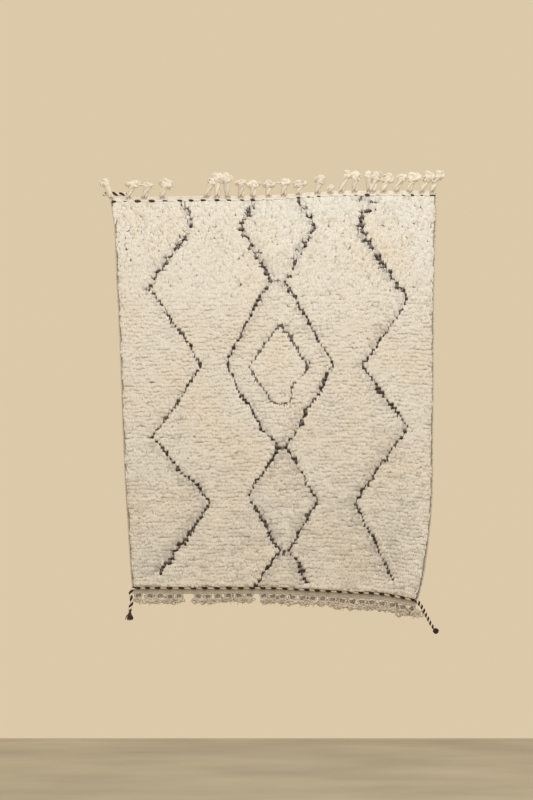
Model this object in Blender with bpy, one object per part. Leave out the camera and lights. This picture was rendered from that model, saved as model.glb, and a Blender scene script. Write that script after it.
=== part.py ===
"""Beni Ourain rug, hanging by its top edge.

Metres. +X is to the right of someone who faces the rug, +Z is up, and the pile faces -Y.
The origin is the middle of the top edge, on the flat back of the heading, which lies
against the wall plane y = 0.

A point of the cloth is given by two shares, across (0 at the left edge, 1 at the right)
and down (0 at the top edge, 1 at the lower edge of the bottom band), and by its height
above the cloth's back.
"""
import math

import bmesh
import bpy
import numpy as np
from mathutils import Matrix, Vector

# ---------------------------------------------------------------- driving dimensions
LENGTH = 1.30  # from the top edge to the lower edge of the bottom band, along the middle
WEAVE = 0.004  # thickness of the ground weave and of the flat-woven ends
PILE = 0.016  # height of the wool pile above the ground weave
HEADING = 0.015  # flat-woven band at the top, down to the middle of its border cord
BAND = 0.020  # flat-woven band at the bottom, up to the middle of its border cord
FLAT_BACK = 0.024  # how far down from the top edge the back lies flat on the wall
LEAVES_WALL = 0.21  # over how long a stretch below that it comes to its full stand-off
GAP = 0.0003  # between pieces that touch

TOP_CORD = 0.0070  # diameter of the upper border cord
BOTTOM_CORD = 0.0080  # diameter of the lower border cord
TAIL_CORD = 0.0075  # diameter of the loose tails at the corners
BALL = 0.0190  # diameter of the wool ball
TASSEL_LENGTH = 0.026
TASSEL_GAP = 0.0012  # from the slanting end of its cord to its level top
TASSEL_WIDTH = 0.021

SPINE = 0.0035  # height of the strip from which a fringe's bunches leave
FOOT_DEPTH = 0.0018  # where in that strip they start, clear of the sloping edge
EDGE_ROUND = 0.012  # how far in from a side edge the pile reaches its full height
END_ROUND = 0.008  # the same at the two ends of the pile

WAVE = 0.0035  # depth of the soft waves across the hanging cloth
CURL = 0.045  # how far the lower right corner comes forward
CURL_ACROSS = 0.78  # share across at which that curl begins
CURL_DOWN = 0.62  # share down at which it begins
PILE_UNEVEN = 0.0012  # how much the pile's height wanders

# ---------------------------------------------------------------- short tables
# The side edges and the back's distance from the wall, a row for each height.
#        down   left     right    off the wall
SIDES = (
    (0.000, -0.5310, 0.5320, 0.000),
    (0.050, -0.5215, 0.5312, 0.004),
    (0.250, -0.5090, 0.5245, 0.008),
    (0.500, -0.4965, 0.5215, 0.013),
    (0.750, -0.4875, 0.5190, 0.019),
    (1.000, -0.4755, 0.5125, 0.026),
    (1.120, -0.4675, 0.4985, 0.030),
    (1.220, -0.4610, 0.4815, 0.033),
    (1.300, -0.4540, 0.4580, 0.036),
)
# The height of the top edge, which rises to the right.
#      across  height
TOP_EDGE = (
    (0.00, -0.0082),
    (0.25, -0.0043),
    (0.50, 0.0000),
    (0.58, 0.0055),
    (0.68, 0.0112),
    (1.00, 0.0132),
)
# The height of the bottom band's lower edge, which drops to the right.
#         across  height
BOTTOM_EDGE = (
    (0.00, -1.2915),
    (0.30, -1.2930),
    (0.53, -1.2935),
    (0.65, -1.3000),
    (0.75, -1.3060),
    (0.88, -1.3125),
    (0.94, -1.3205),
    (1.00, -1.3315),
)
# The knotted warp bunches that stand on the top edge, in millimetres: where the stem
# stands, where its knot is, and the knot's width and height.
#       foot_x  knot_x  knot_z  width  height
TOP_BUNCHES = (
    (-526, -545, 37, 28, 22),
    (-468, -453, 33, 38, 20),
    (-418, -404, 30, 26, 17),
    (-361, -346, 34, 34, 30),
    (-219, -199, 35, 18, 18),
    (-183, -176, 53, 24, 25),
    (-148, -150, 52, 25, 24),
    (-104, -103, 37, 36, 18),
    (-64, -65, 33, 37, 21),
    (-15, -14, 34, 38, 20),
    (34, 39, 39, 31, 21),
    (83, 90, 35, 36, 21),
    (143, 155, 48, 29, 26),
    (187, 188, 25, 18, 13),
    (221, 239, 63, 23, 25),
    (265, 267, 60, 29, 27),
    (313, 308, 64, 20, 22),
    (326, 334, 58, 28, 26),
    (356, 376, 52, 32, 28),
    (398, 421, 55, 27, 21),
    (441, 457, 55, 42, 29),
    (482, 507, 58, 32, 31),
    (514, 540, 62, 27, 27),
)
# The matted bunches under the bottom band, in millimetres: where the stem hangs, how far
# the knot is moved sideways and below the band, and the knot's width and height.
#          foot_x  aside  drop  width  height
BOTTOM_BUNCHES = (
    (-434, -4, 20, 23, 19),
    (-398, 1, 21, 32, 17),
    (-366, 2, 20, 30, 16),
    (-333, 0, 22, 29, 17),
    (-303, -2, 20, 25, 17),
    (-243, 3, 20, 30, 15),
    (-211, 2, 22, 29, 17),
    (-178, -1, 19, 28, 15),
    (-145, 2, 17, 32, 15),
    (-110, 0, 19, 32, 17),
    (-76, -2, 17, 27, 15),
    (-31, 3, 20, 24, 19),
    (-2, 1, 21, 27, 17),
    (31, 0, 20, 33, 16),
    (63, 1, 22, 30, 18),
    (96, 0, 22, 30, 17),
    (128, 0, 20, 30, 16),
    (160, 0, 19, 30, 15),
    (192, 0, 21, 30, 17),
    (224, 0, 24, 30, 18),
    (256, 0, 26, 30, 19),
    (288, 0, 25, 30, 18),
    (320, 0, 24, 30, 17),
    (352, 0, 25, 30, 18),
    (384, 2, 24, 31, 17),
    (414, 9, 25, 34, 23),
    (437, 21, 24, 31, 26),
)
# The routes of the three loose tails, in metres, from the end at the border cord.
LEFT_TAIL = (
    (-0.4438, -0.0438, -1.2716),
    (-0.4500, -0.0442, -1.2733),
    (-0.4555, -0.0446, -1.2787),
    (-0.4592, -0.0448, -1.2860),
    (-0.4595, -0.0448, -1.2955),
    (-0.4575, -0.0446, -1.3060),
    (-0.4560, -0.0444, -1.3170),
    (-0.4585, -0.0442, -1.3285),
    (-0.4620, -0.0440, -1.3405),
    (-0.4622, -0.0440, -1.3500),
)
RIGHT_TAIL = (
    (0.4577, -0.0880, -1.3093),
    (0.4640, -0.0886, -1.3135),
    (0.4702, -0.0888, -1.3213),
    (0.4775, -0.0888, -1.3307),
    (0.4835, -0.0886, -1.3415),
    (0.4885, -0.0884, -1.3525),
    (0.4945, -0.0882, -1.3627),
    (0.5000, -0.0880, -1.3730),
    (0.5055, -0.0878, -1.3832),
    (0.5110, -0.0876, -1.3920),
    (0.5165, -0.0875, -1.3995),
)
TOP_TAIL = (
    (-0.4760, -0.0045, 0.0010),
    (-0.4880, -0.0045, 0.0030),
    (-0.5010, -0.0050, 0.0015),
    (-0.5140, -0.0045, 0.0035),
    (-0.5270, -0.0040, 0.0040),
    (-0.5390, -0.0040, 0.0030),
    (-0.5510, -0.0045, 0.0010),
)

# ---------------------------------------------------------------- grid of the body
SIDE_STEPS = (0.0, 0.004, 0.009, 0.016)  # columns near a side edge, metres in from it
MIDDLE_COLUMNS = 16
MIDDLE_ROWS = 20
TOP_SIDES, BOTTOM_SIDES = 8, 6  # round steps of a fringe's bunches
KNOT_LEVELS = (-0.82, -0.35, 0.2, 0.65, 0.94)  # rings up a knot, as shares of half its height


def smooth_table(at, knots, values):
    """The cubic through (knots, values) whose slope at a knot follows its neighbours."""
    knots, values = np.asarray(knots, float), np.asarray(values, float)
    slopes = np.gradient(values, knots)
    at = np.clip(np.asarray(at, float), knots[0], knots[-1])
    low = np.clip(np.searchsorted(knots, at, side="right") - 1, 0, len(knots) - 2)
    step = knots[low + 1] - knots[low]
    t = (at - knots[low]) / step
    return (
        (1 + 2 * t) * (1 - t) ** 2 * values[low]
        + t * (1 - t) ** 2 * step * slopes[low]
        + t * t * (3 - 2 * t) * values[low + 1]
        - t * t * (1 - t) * step * slopes[low + 1]
    )


def ease(x):
    """0 up to x = 0, 1 from x = 1, and a smooth rise between them."""
    x = np.clip(x, 0.0, 1.0)
    return x * x * (3 - 2 * x)


def rounded(x):
    """A quarter circle that rises from 0 at x = 0 to 1 at x = 1."""
    return np.sqrt(1 - (1 - np.clip(x, 0.0, 1.0)) ** 2)


def side_edges(down):
    """The x of the left and the right edge, and the stand-off, at a share down."""
    rows = np.array(SIDES)
    at = np.asarray(down) * LENGTH
    return [smooth_table(at, rows[:, 0], rows[:, i]) for i in (1, 2, 3)]


def back_point(across, down):
    """Points of the cloth's back, which is flat on the wall along the heading."""
    across, down = np.broadcast_arrays(across, down)
    left, right, off = side_edges(down)
    top = smooth_table(across, *np.array(TOP_EDGE).T)
    bottom = smooth_table(across, *np.array(BOTTOM_EDGE).T)
    waves = np.sin(2 * np.pi * (1.5 * across + 0.35 * down) + 0.6)
    waves = waves + 0.4 * np.sin(2 * np.pi * (2.7 * across - 0.6 * down) + 2.0)
    curl = ease((across - CURL_ACROSS) / (1 - CURL_ACROSS)) ** 2
    curl = curl * ease((down - CURL_DOWN) / (1 - CURL_DOWN))
    free = ease((down * LENGTH - FLAT_BACK) / LEAVES_WALL)
    y = -(off + WAVE * waves * np.minimum(1.0, 2 * down)) * free - CURL * curl
    x = left + (right - left) * across
    z = top + (bottom - top) * down
    return np.stack([x, np.minimum(y, 0.0), z], -1)


def front_direction(across, down):
    """The unit direction out of the front of the cloth."""
    step = 1e-3
    along = back_point(across + step, down) - back_point(across - step, down)
    fall = back_point(across, down + step) - back_point(across, down - step)
    out = np.cross(fall, along)
    out = out / np.linalg.norm(out, axis=-1, keepdims=True)
    return out * np.where(out[..., 1:2] > 0, -1.0, 1.0)


def cloth_point(across, down, height):
    """A point at this height above the back."""
    across, down = np.broadcast_arrays(across, down)
    normal = front_direction(across, down)
    return back_point(across, down) + normal * np.asarray(height)[..., None]


def thickness(across, down):
    """The cloth's whole thickness: the weave, and the pile, which rounds off at its edges."""
    left, right, _ = side_edges(down)
    width = right - left
    side = np.minimum(across, 1 - across) * width
    from_top = down * LENGTH - (HEADING + TOP_CORD / 2 + 2 * GAP)
    from_bottom = (1 - down) * LENGTH - (BAND + BOTTOM_CORD / 2 + 2 * GAP)
    full = rounded(side / EDGE_ROUND) * rounded(from_top / END_ROUND)
    full = full * rounded(from_bottom / END_ROUND)
    uneven = np.sin(17 * across + 4 * down) * np.sin(13 * down - 6 * across + 1.0)
    return WEAVE + (PILE + PILE_UNEVEN * uneven) * full


def body_columns():
    near = np.array(SIDE_STEPS) / (SIDES[4][2] - SIDES[4][1])
    middle = np.linspace(near[-1], 1 - near[-1], MIDDLE_COLUMNS + 2)[1:-1]
    return np.concatenate([near, middle, 1 - near[::-1]])


def body_rows():
    start = HEADING + TOP_CORD / 2 + 2 * GAP
    end = LENGTH - BAND - BOTTOM_CORD / 2 - 2 * GAP
    top = [0.0, 0.5 * start, start, start + 0.002, start + END_ROUND]
    bottom = [end - END_ROUND, end - 0.002, end, LENGTH - 0.5 * BAND, LENGTH]
    middle = np.linspace(top[-1], bottom[0], MIDDLE_ROWS + 2)[1:-1]
    return np.concatenate([top, middle, bottom]) / LENGTH


# ---------------------------------------------------------------- Blender helpers
def make_material(name, colour, roughness):
    material = bpy.data.materials.new(name)
    material.use_nodes = True
    shader = material.node_tree.nodes["Principled BSDF"]
    shader.inputs["Base Color"].default_value = (*colour, 1.0)
    shader.inputs["Roughness"].default_value = roughness
    shader.inputs["Metallic"].default_value = 0.0
    return material


def add_object(name, data, material):
    data.materials.append(material)
    thing = bpy.data.objects.new(name, data)
    bpy.context.scene.collection.objects.link(thing)
    return thing


def mesh_from(name, builder, smooth_angle=35):
    """Makes a mesh from a bmesh, faces out, shaded smooth up to an angle."""
    bmesh.ops.recalc_face_normals(builder, faces=builder.faces)
    mesh = bpy.data.meshes.new(name)
    builder.to_mesh(mesh)
    builder.free()
    mesh.shade_smooth()
    mesh.set_sharp_from_angle(angle=math.radians(smooth_angle))
    return mesh


def add_strip(builder, rings):
    """Joins equal rings of points into one closed tube with flat ends."""
    loops = [[builder.verts.new(point) for point in ring] for ring in rings]
    count = len(loops[0])
    for one, two in zip(loops, loops[1:]):
        for i in range(count):
            j = (i + 1) % count
            builder.faces.new((one[i], one[j], two[j], two[i]))
    builder.faces.new(loops[0][::-1])
    builder.faces.new(loops[-1])


def add_bunch(builder, route, stem, size, sides):
    """A bunch of warp ends: level rings up or down a stem, then round a knot at its end.

    The knot is a ball drawn out to its width, depth and height, and the stem's last point
    is its middle.
    """
    rings = [(Vector(point), stem, stem) for point in route[:-1]]
    knot = Vector(route[-1])
    way = math.copysign(1.0, route[-1][2] - route[0][2])
    for level in KNOT_LEVELS:
        centre = knot + Vector((0, 0, way * level * size[2] / 2))
        share = math.sqrt(1 - level * level)
        rings.append((centre, share * size[0] / 2, share * size[1] / 2))
    angles = [2 * math.pi * (k + 0.5) / sides for k in range(sides)]
    add_strip(
        builder,
        [
            [centre + Vector((math.cos(a) * wide, math.sin(a) * deep, 0)) for a in angles]
            for centre, wide, deep in rings
        ],
    )


def add_cord(name, points, diameter, material):
    """A round cord as a bevelled curve with filled ends."""
    curve = bpy.data.curves.new(name, "CURVE")
    curve.dimensions = "3D"
    curve.bevel_depth = diameter / 2
    curve.bevel_resolution = 2
    curve.use_fill_caps = True
    spline = curve.splines.new("POLY")
    spline.points.add(len(points) - 1)
    for point, place in zip(spline.points, points):
        point.co = (*place, 1.0)
    return add_object(name, curve, material)


def along_route(route, spacing):
    """Points read at an even spacing from the smooth curve through a route."""
    route = np.array(route, float)
    steps = np.linalg.norm(np.diff(route, axis=0), axis=1)
    reach = np.concatenate([[0], np.cumsum(steps)])
    count = max(4, round(reach[-1] / spacing) + 1)
    at = np.linspace(0, reach[-1], count)
    return np.stack([smooth_table(at, reach, axis) for axis in route.T], -1)


# ---------------------------------------------------------------- the pieces
def make_body(material):
    """Ground weave, pile and flat-woven ends: two grids sewn together round their rim."""
    across, down = np.meshgrid(body_columns(), body_rows())
    front = cloth_point(across, down, thickness(across, down))
    back = back_point(across, down)
    rows, columns = across.shape
    builder = bmesh.new()
    sheets = [
        [[builder.verts.new(point) for point in row] for row in sheet]
        for sheet in (front, back)
    ]
    for sheet in sheets:
        for r in range(rows - 1):
            for c in range(columns - 1):
                corners = (sheet[r][c], sheet[r][c + 1], sheet[r + 1][c + 1], sheet[r + 1][c])
                builder.faces.new(corners)
    rim = [(0, c) for c in range(columns - 1)]
    rim += [(r, columns - 1) for r in range(rows - 1)]
    rim += [(rows - 1, c) for c in range(columns - 1, 0, -1)]
    rim += [(r, 0) for r in range(rows - 1, 0, -1)]
    for (r, c), (r2, c2) in zip(rim, rim[1:] + rim[:1]):
        corners = (sheets[0][r][c], sheets[0][r2][c2], sheets[1][r2][c2], sheets[1][r][c])
        builder.faces.new(corners)
    return add_object("rug_body", mesh_from("rug_body", builder), material)


def border_points(down, diameter):
    """The middle of a border cord, which lies on the flat-woven end."""
    return cloth_point(body_columns(), down, WEAVE + diameter / 2 + 1.5 * GAP)


def make_border_cords(material):
    top = border_points(HEADING / LENGTH, TOP_CORD)
    bottom = border_points(1 - BAND / LENGTH, BOTTOM_CORD)
    add_cord("top_border_cord", top[1:-1], TOP_CORD, material)
    add_cord("bottom_border_cord", bottom[3:-2], BOTTOM_CORD, material)


def edge_shares(x_mm, down):
    """The share across of each x, given in millimetres, at a share down."""
    left, right, _ = side_edges(down)
    return (np.array(x_mm) / 1000 - left) / (right - left)


def make_fringe(name, material, down, lift, sides, bunches):
    """A comb: a thin strip along one end of the weave, with knotted bunches joined to it.

    lift is +1 for bunches that stand above the top edge and -1 for hanging ones. Each
    bunch is a route from its foot to its knot, and the knot's width, depth and height.
    """
    columns = body_columns()[1:-1]
    edge = back_point(columns, down)
    near, far = lift * GAP, lift * (GAP + SPINE)
    front = -0.9 * WEAVE
    section = ((0.0, near), (front, near), (front, far), (0.0, far))
    rings = [[Vector(point) + Vector((0, y, z)) for y, z in section] for point in edge]
    builder = bmesh.new()
    add_strip(builder, rings)
    comb = add_object(name, mesh_from(name, builder), material)

    builder = bmesh.new()
    for route, stem, size in bunches:
        add_bunch(builder, route, stem, size, sides)
    teeth = add_object(name + "_bunches", mesh_from(name + "_bunches", builder), material)
    teeth.hide_render = True
    teeth.display_type = "WIRE"
    union = comb.modifiers.new("bunches", "BOOLEAN")
    union.operation = "UNION"
    union.solver = "EXACT"
    union.object = teeth
    return comb


def top_bunches():
    """Bunches that rise from the top edge, the first one bent over the loose cord tail."""
    for number, (foot_x, knot_x, knot_z, width, height) in enumerate(TOP_BUNCHES):
        foot = back_point(edge_shares(foot_x, 0.0), 0.0)
        stem = 0.0036 if number == 0 else 0.0042 + 0.0004 * (number % 3)
        depth = min(width, height, 19) / 1000
        base = foot + (0, -stem - 0.0003, FOOT_DEPTH)
        knot = np.array((knot_x / 1000, -depth / 2 - 0.0025, knot_z / 1000))
        if number == 0:
            bends = [(-0.0015, -0.0050, 0.0036), (-0.0050, -0.0088, 0.0105)]
            route = [base, *(base + bend for bend in bends), knot + (0, -0.004, 0)]
        else:
            route = [base, base + (0, 0, 0.004), knot]
        yield route, stem, (width / 1000, depth, height / 1000)


def bottom_bunches():
    """Bunches that hang from the lower edge, close beside one another."""
    for number, (foot_x, aside, drop, width, height) in enumerate(BOTTOM_BUNCHES):
        foot = back_point(edge_shares(foot_x, 1.0), 1.0)
        stem = 0.0044 + 0.0004 * (number % 2)
        depth = 0.011 + 0.002 * (number % 3)
        base = foot + (0, -stem - 0.0003, -FOOT_DEPTH)
        knot = foot + (aside / 1000, -depth / 2 - 0.0005, -drop / 1000)
        route = [base, base + (0, 0, -0.004), knot]
        yield route, stem, (width / 1000, depth, height / 1000)


def make_tails(cord_material, dark_material):
    """The loose ends of the border cords, with the tassel and the ball that end them."""
    spacing = 2 * TAIL_CORD
    routes = (("tail_left", LEFT_TAIL), ("tail_right", RIGHT_TAIL), ("tail_top", TOP_TAIL))
    ends = {}
    for name, route in routes:
        points = along_route(route, spacing)
        add_cord("corner_" + name, points, TAIL_CORD, cord_material)
        run = points[-1] - points[-2]
        ends[name] = points[-1], run / np.linalg.norm(run)

    place, run = ends["tail_right"]
    builder = bmesh.new()
    centre = Vector(place + run * (BALL / 2 + GAP))
    bmesh.ops.create_uvsphere(
        builder,
        u_segments=14,
        v_segments=10,
        radius=BALL / 2,
        matrix=Matrix.Translation(centre),
    )
    add_object("wool_ball", mesh_from("wool_ball", builder), dark_material)

    #              share of the length, share of half the width
    profile = ((0.0, 0.36), (0.14, 0.50), (0.24, 0.44), (0.42, 0.86), (0.72, 1.0), (1.0, 0.80))
    place, run = ends["tail_left"]
    top = Vector(place + run * TASSEL_GAP)
    builder = bmesh.new()
    rings = []
    for share, radius in profile:
        spokes = [2 * math.pi * k / 12 for k in range(12)]
        level = top + Vector(run) * share * TASSEL_LENGTH
        half = radius * TASSEL_WIDTH / 2
        rings.append([level + Vector((math.cos(a), math.sin(a), 0)) * half for a in spokes])
    add_strip(builder, rings)
    add_object("wool_tassel", mesh_from("wool_tassel", builder), dark_material)


def clear_scene():
    for thing in list(bpy.data.objects):
        bpy.data.objects.remove(thing)


def main():
    clear_scene()
    wool = make_material("cream_wool", (0.78, 0.70, 0.56), 0.95)
    warp = make_material("cream_warp", (0.76, 0.68, 0.53), 0.9)
    twined = make_material("twined_cord", (0.20, 0.14, 0.11), 0.85)
    dark = make_material("dark_wool", (0.07, 0.035, 0.035), 0.9)
    make_body(wool)
    make_border_cords(twined)
    make_fringe("top_fringe", warp, 0.0, 1, TOP_SIDES, top_bunches())
    make_fringe("bottom_fringe", warp, 1.0, -1, BOTTOM_SIDES, bottom_bunches())
    make_tails(twined, dark)


main()
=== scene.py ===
# %% [markdown]
# # A knotted wool rug that hangs by its top edge
# This lesson dresses a small Moroccan pile rug. The CAD model gives its hanging shape, its
# pieces and their places; here each of them gets the yarn that it is made of. Almost all of
# a rug is yarn, so one function that makes many tubes at once does most of the work. The
# rest is deciding where each yarn runs, how thick it is and which wool it is spun from.
#
# The frame comes first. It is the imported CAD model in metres: +X is to the viewer's right,
# +Z is up, the pile faces -Y, and the wall is the plane y = 0.

import bpy
import numpy as np
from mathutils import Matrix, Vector


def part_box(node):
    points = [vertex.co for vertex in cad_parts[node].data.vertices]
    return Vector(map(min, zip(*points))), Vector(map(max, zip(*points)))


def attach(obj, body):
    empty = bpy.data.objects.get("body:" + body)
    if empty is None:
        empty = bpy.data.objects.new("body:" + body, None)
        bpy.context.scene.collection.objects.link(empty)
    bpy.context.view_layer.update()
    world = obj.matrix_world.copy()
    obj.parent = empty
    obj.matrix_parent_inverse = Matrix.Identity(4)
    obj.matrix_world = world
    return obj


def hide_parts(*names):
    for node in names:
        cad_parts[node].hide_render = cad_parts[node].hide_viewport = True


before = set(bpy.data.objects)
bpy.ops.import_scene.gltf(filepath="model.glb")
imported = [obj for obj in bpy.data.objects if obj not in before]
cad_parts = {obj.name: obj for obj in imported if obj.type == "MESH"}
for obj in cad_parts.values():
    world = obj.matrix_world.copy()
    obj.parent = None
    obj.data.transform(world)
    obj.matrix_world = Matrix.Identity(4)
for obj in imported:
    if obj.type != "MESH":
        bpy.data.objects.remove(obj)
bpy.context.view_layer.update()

# %% [markdown]
# ## The camera
# The rug is seen straight on from about seven metres with a long lens, so that its edges
# stay nearly parallel. It looks at a point a little above the middle of the rug's height,
# which leaves bare space above and the floor's edge below.

# %% Place the camera
LENS = 100.0  # focal length, millimetres
SENSOR = 36.0  # millimetres, along the frame's long side
VIEW_HEIGHT = 2.5985  # metres of wall that the frame takes in, top to bottom
AIM = (-0.021, -0.6662)  # x and z of the frame's middle

camera_data = bpy.data.cameras.new("camera")
camera_data.lens = LENS
camera_data.sensor_width = SENSOR
camera = bpy.data.objects.new("camera", camera_data)
distance = VIEW_HEIGHT * LENS / SENSOR
camera.location = (AIM[0], -distance, AIM[1])
camera.rotation_euler = (np.pi / 2, 0.0, 0.0)
bpy.context.scene.collection.objects.link(camera)
bpy.context.scene.camera = camera
print(f"camera {distance:.2f} m from the wall")

# %% [markdown]
# ## Curves through a few points
# The rug's edges and the routes of its cords are each given by a few points. The curve
# between them is the cubic whose slope at a point follows that point's neighbours, so it
# is smooth without any handles to set. The CAD uses the same curve, so both agree.


# %% A smooth table and an even walk along a route
def smooth_table(at, knots, values):
    """The cubic through (knots, values): Hermite's four weights of the two end values and
    the two end slopes, each slope being the mean slope of the neighbouring stretches."""
    knots, values = np.asarray(knots, float), np.asarray(values, float)
    slopes = np.gradient(values, knots)
    at = np.clip(np.asarray(at, float), knots[0], knots[-1])
    low = np.clip(np.searchsorted(knots, at, side="right") - 1, 0, len(knots) - 2)
    step = knots[low + 1] - knots[low]
    t = (at - knots[low]) / step
    return (
        (1 + 2 * t) * (1 - t) ** 2 * values[low]
        + t * (1 - t) ** 2 * step * slopes[low]
        + t * t * (3 - 2 * t) * values[low + 1]
        - t * t * (1 - t) * step * slopes[low + 1]
    )


def walk(route, spacing):
    """Points about one spacing apart on the smooth curve through the route."""
    route = np.array(route, float)
    steps = np.linalg.norm(np.diff(route, axis=0), axis=1)
    reach = np.concatenate([[0], np.cumsum(steps)])
    count = max(4, round(reach[-1] / spacing) + 1)
    at = np.linspace(0, reach[-1], count)
    return np.stack([smooth_table(at, reach, axis) for axis in route.T], -1)


def ease(x):
    """0 below 0, 1 above 1, and 3 x^2 - 2 x^3 between them."""
    x = np.clip(x, 0.0, 1.0)
    return x * x * (3 - 2 * x)


def wander(x, y, size, seed):
    """A smooth random field: the sum of sixteen sine waves in random directions, with
    wavelengths round the size, scaled to a spread of about one."""
    rng = np.random.default_rng(seed)
    total = np.zeros(np.broadcast(x, y).shape)
    for turn, length, start in zip(
        rng.uniform(0, np.pi, 16), size * rng.uniform(0.6, 1.7, 16), rng.uniform(0, 7, 16)
    ):
        total += np.sin(2 * np.pi * (x * np.cos(turn) + y * np.sin(turn)) / length + start)
    return total / np.sqrt(8)


# %% [markdown]
# ## Many tubes at once
# A lock of pile, a warp end, a ply of cord and a loop of a knot are all tubes. A tube is a
# row of rings round a path. Written as whole arrays, thousands of tubes cost no more lines
# than one: the paths have the shape (tubes, rings, 3), and NumPy does the rest.
#
# Each tube also gets two maps. On "yarn" the pattern of twisted fibres runs round and along
# it. On "OFBake" every tube has a cell of its own in a grid, so that a painted picture of
# the colours never mixes two neighbours.


# %% Rings round paths
def unit(v):
    return v / np.maximum(np.linalg.norm(v, axis=-1, keepdims=True), 1e-12)


def tubes(paths, wide, deep, reference, sides, ply=0.0, lay=0.02):
    """Closed tubes. A ring's point at angle a is its centre + wide cos(a) side
    + deep sin(a) up, where side is the reference made square to the path, and up is the
    path's direction x side. A ply above 0 gives each ring two lobes, a radius times
    1 + ply cos(2a - 2b), and b makes half a turn in each lay along the path."""
    paths = np.asarray(paths, float)
    n, rings = paths.shape[:2]
    wide = np.broadcast_to(wide, (n, rings))[..., None, None]
    deep = np.broadcast_to(deep, (n, rings))[..., None, None]
    tangent = unit(np.gradient(paths, axis=1))
    reference = np.broadcast_to(reference, paths.shape)
    side = unit(reference - (reference * tangent).sum(-1, keepdims=True) * tangent)
    up = np.cross(tangent, side)
    steps = np.linalg.norm(np.diff(paths, axis=1), axis=-1)
    run = np.concatenate([np.zeros((n, 1)), np.cumsum(steps, axis=1)], axis=1)
    angle = 2 * np.pi * np.arange(sides) / sides
    lobes = 1 + ply * np.cos(2 * angle - 2 * np.pi * run[..., None] / lay)
    ring = wide * (np.cos(angle) * lobes)[..., None] * side[:, :, None]
    ring = ring + deep * (np.sin(angle) * lobes)[..., None] * up[:, :, None]
    return {"points": paths[:, :, None] + ring, "run": run, "girth": wide.mean() * 6.3}


def cell_corners(group, low, high):
    """Each tube's cell on the bake map: a grid over the strip from low to high, with as
    many columns as make a cell's shape that of the unrolled tube."""
    n = len(group["points"])
    long = max(float(group["run"][:, -1].mean()), 1e-4)
    scale = np.sqrt((high - low) / (n * long * group["girth"]))
    columns = int(np.clip(round(1 / (group["girth"] * scale)), 1, n))
    rows = -(-n // columns)
    column, row = np.arange(n) % columns, np.arange(n) // columns
    width, height = 1 / columns, (high - low) / rows
    return column * width, low + row * height, width, height


def tube_faces(group, low, high):
    """The tube group's quads and end caps as vertex numbers, each with both its maps."""
    points, run = group["points"], group["run"]
    n, rings, sides = points.shape[:3]
    first = np.arange(n)[:, None, None] * rings * sides
    r, s = np.meshgrid(np.arange(rings - 1), np.arange(sides), indexing="ij")
    ring_at = np.stack([r, r, r + 1, r + 1], -1)
    side_at = np.stack([s, s + 1, s + 1, s], -1)
    quads = first[..., None] + ring_at * sides + side_at % sides
    x, y, width, height = cell_corners(group, low, high)
    margin = 0.06
    bake_x = x[:, None, None, None] + width * (margin + (1 - 2 * margin) * side_at / sides)
    share = margin + (1 - 2 * margin) * ring_at / (rings - 1)
    bake_y = y[:, None, None, None] + height * share
    along = run[:, ring_at] / max(group["girth"], 1e-4)
    maps = [
        np.stack([np.broadcast_to(side_at / sides, along.shape), along], -1),
        np.stack(np.broadcast_arrays(bake_x, bake_y), -1),
    ]
    faces = [(quads.reshape(-1, 4), [m.reshape(-1, 2) for m in maps])]
    turn = np.arange(sides)
    for order, ring, base in ((turn[::-1], 0, 0.0), (turn, rings - 1, 1 - margin)):
        caps = np.arange(n)[:, None] * rings * sides + ring * sides + order
        a = 2 * np.pi * order / sides
        flat = np.stack([0.5 + 0.4 * np.cos(a), 0.5 + 0.4 * np.sin(a)], -1)
        own = np.broadcast_to(flat * 0.2, (n, sides, 2))
        cap_y = y[:, None] + height * (base + margin * flat[:, 1])
        cap = np.stack([x[:, None] + width * flat[:, 0], cap_y], -1)
        faces.append((caps, [own.reshape(-1, 2), cap.reshape(-1, 2)]))
    return faces


# %% [markdown]
# ## From arrays to a piece
# A mesh is filled with foreach_set, which takes whole arrays. The piece then rides on the
# CAD body, names the material slot that it belongs to, and stands for the CAD solids that
# it replaces.


# %% Fill a mesh and link the piece
def fill_mesh(name, points, faces, colours, map_names=("yarn", "OFBake")):
    """A mesh of the points, of (vertex numbers, maps) blocks of faces with equal numbers of
    sides, and of one colour for each point."""
    mesh = bpy.data.meshes.new(name)
    points = np.asarray(points, np.float32).reshape(-1, 3)
    corners = np.concatenate([block.ravel() for block, _ in faces]).astype(np.int32)
    sizes = np.concatenate([np.full(len(block), block.shape[1]) for block, _ in faces])
    mesh.vertices.add(len(points))
    mesh.vertices.foreach_set("co", points.ravel())
    mesh.loops.add(len(corners))
    mesh.loops.foreach_set("vertex_index", corners)
    mesh.polygons.add(len(sizes))
    starts = np.concatenate([[0], np.cumsum(sizes)[:-1]]).astype(np.int32)
    mesh.polygons.foreach_set("loop_start", starts)
    mesh.update(calc_edges=True)
    for k, map_name in enumerate(map_names):
        layer = mesh.uv_layers.new(name=map_name)
        places = np.concatenate([maps[k] for _, maps in faces]).astype(np.float32)
        layer.data.foreach_set("uv", places.ravel())
    colours = np.asarray(colours, np.float32).reshape(-1, 3)
    full = np.concatenate([colours, np.ones((len(colours), 1), np.float32)], 1)
    wool = mesh.color_attributes.new("wool", "FLOAT_COLOR", "POINT")
    wool.data.foreach_set("color", full.ravel())
    mesh.shade_smooth()
    return mesh


def add_piece(name, mesh, material, replaces=()):
    """Links the mesh as a piece that rides on the root body."""
    mesh.materials.append(material)
    piece = bpy.data.objects.new(name, mesh)
    bpy.context.scene.collection.objects.link(piece)
    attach(piece, "root")
    if replaces:
        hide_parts(*replaces)
    print(f"{name}: {triangles(mesh)} triangles")
    return piece


def triangles(mesh):
    """A face with n sides is n - 2 triangles."""
    sizes = np.empty(len(mesh.polygons), np.int32)
    mesh.polygons.foreach_get("loop_total", sizes)
    return int((sizes - 2).sum())


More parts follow.
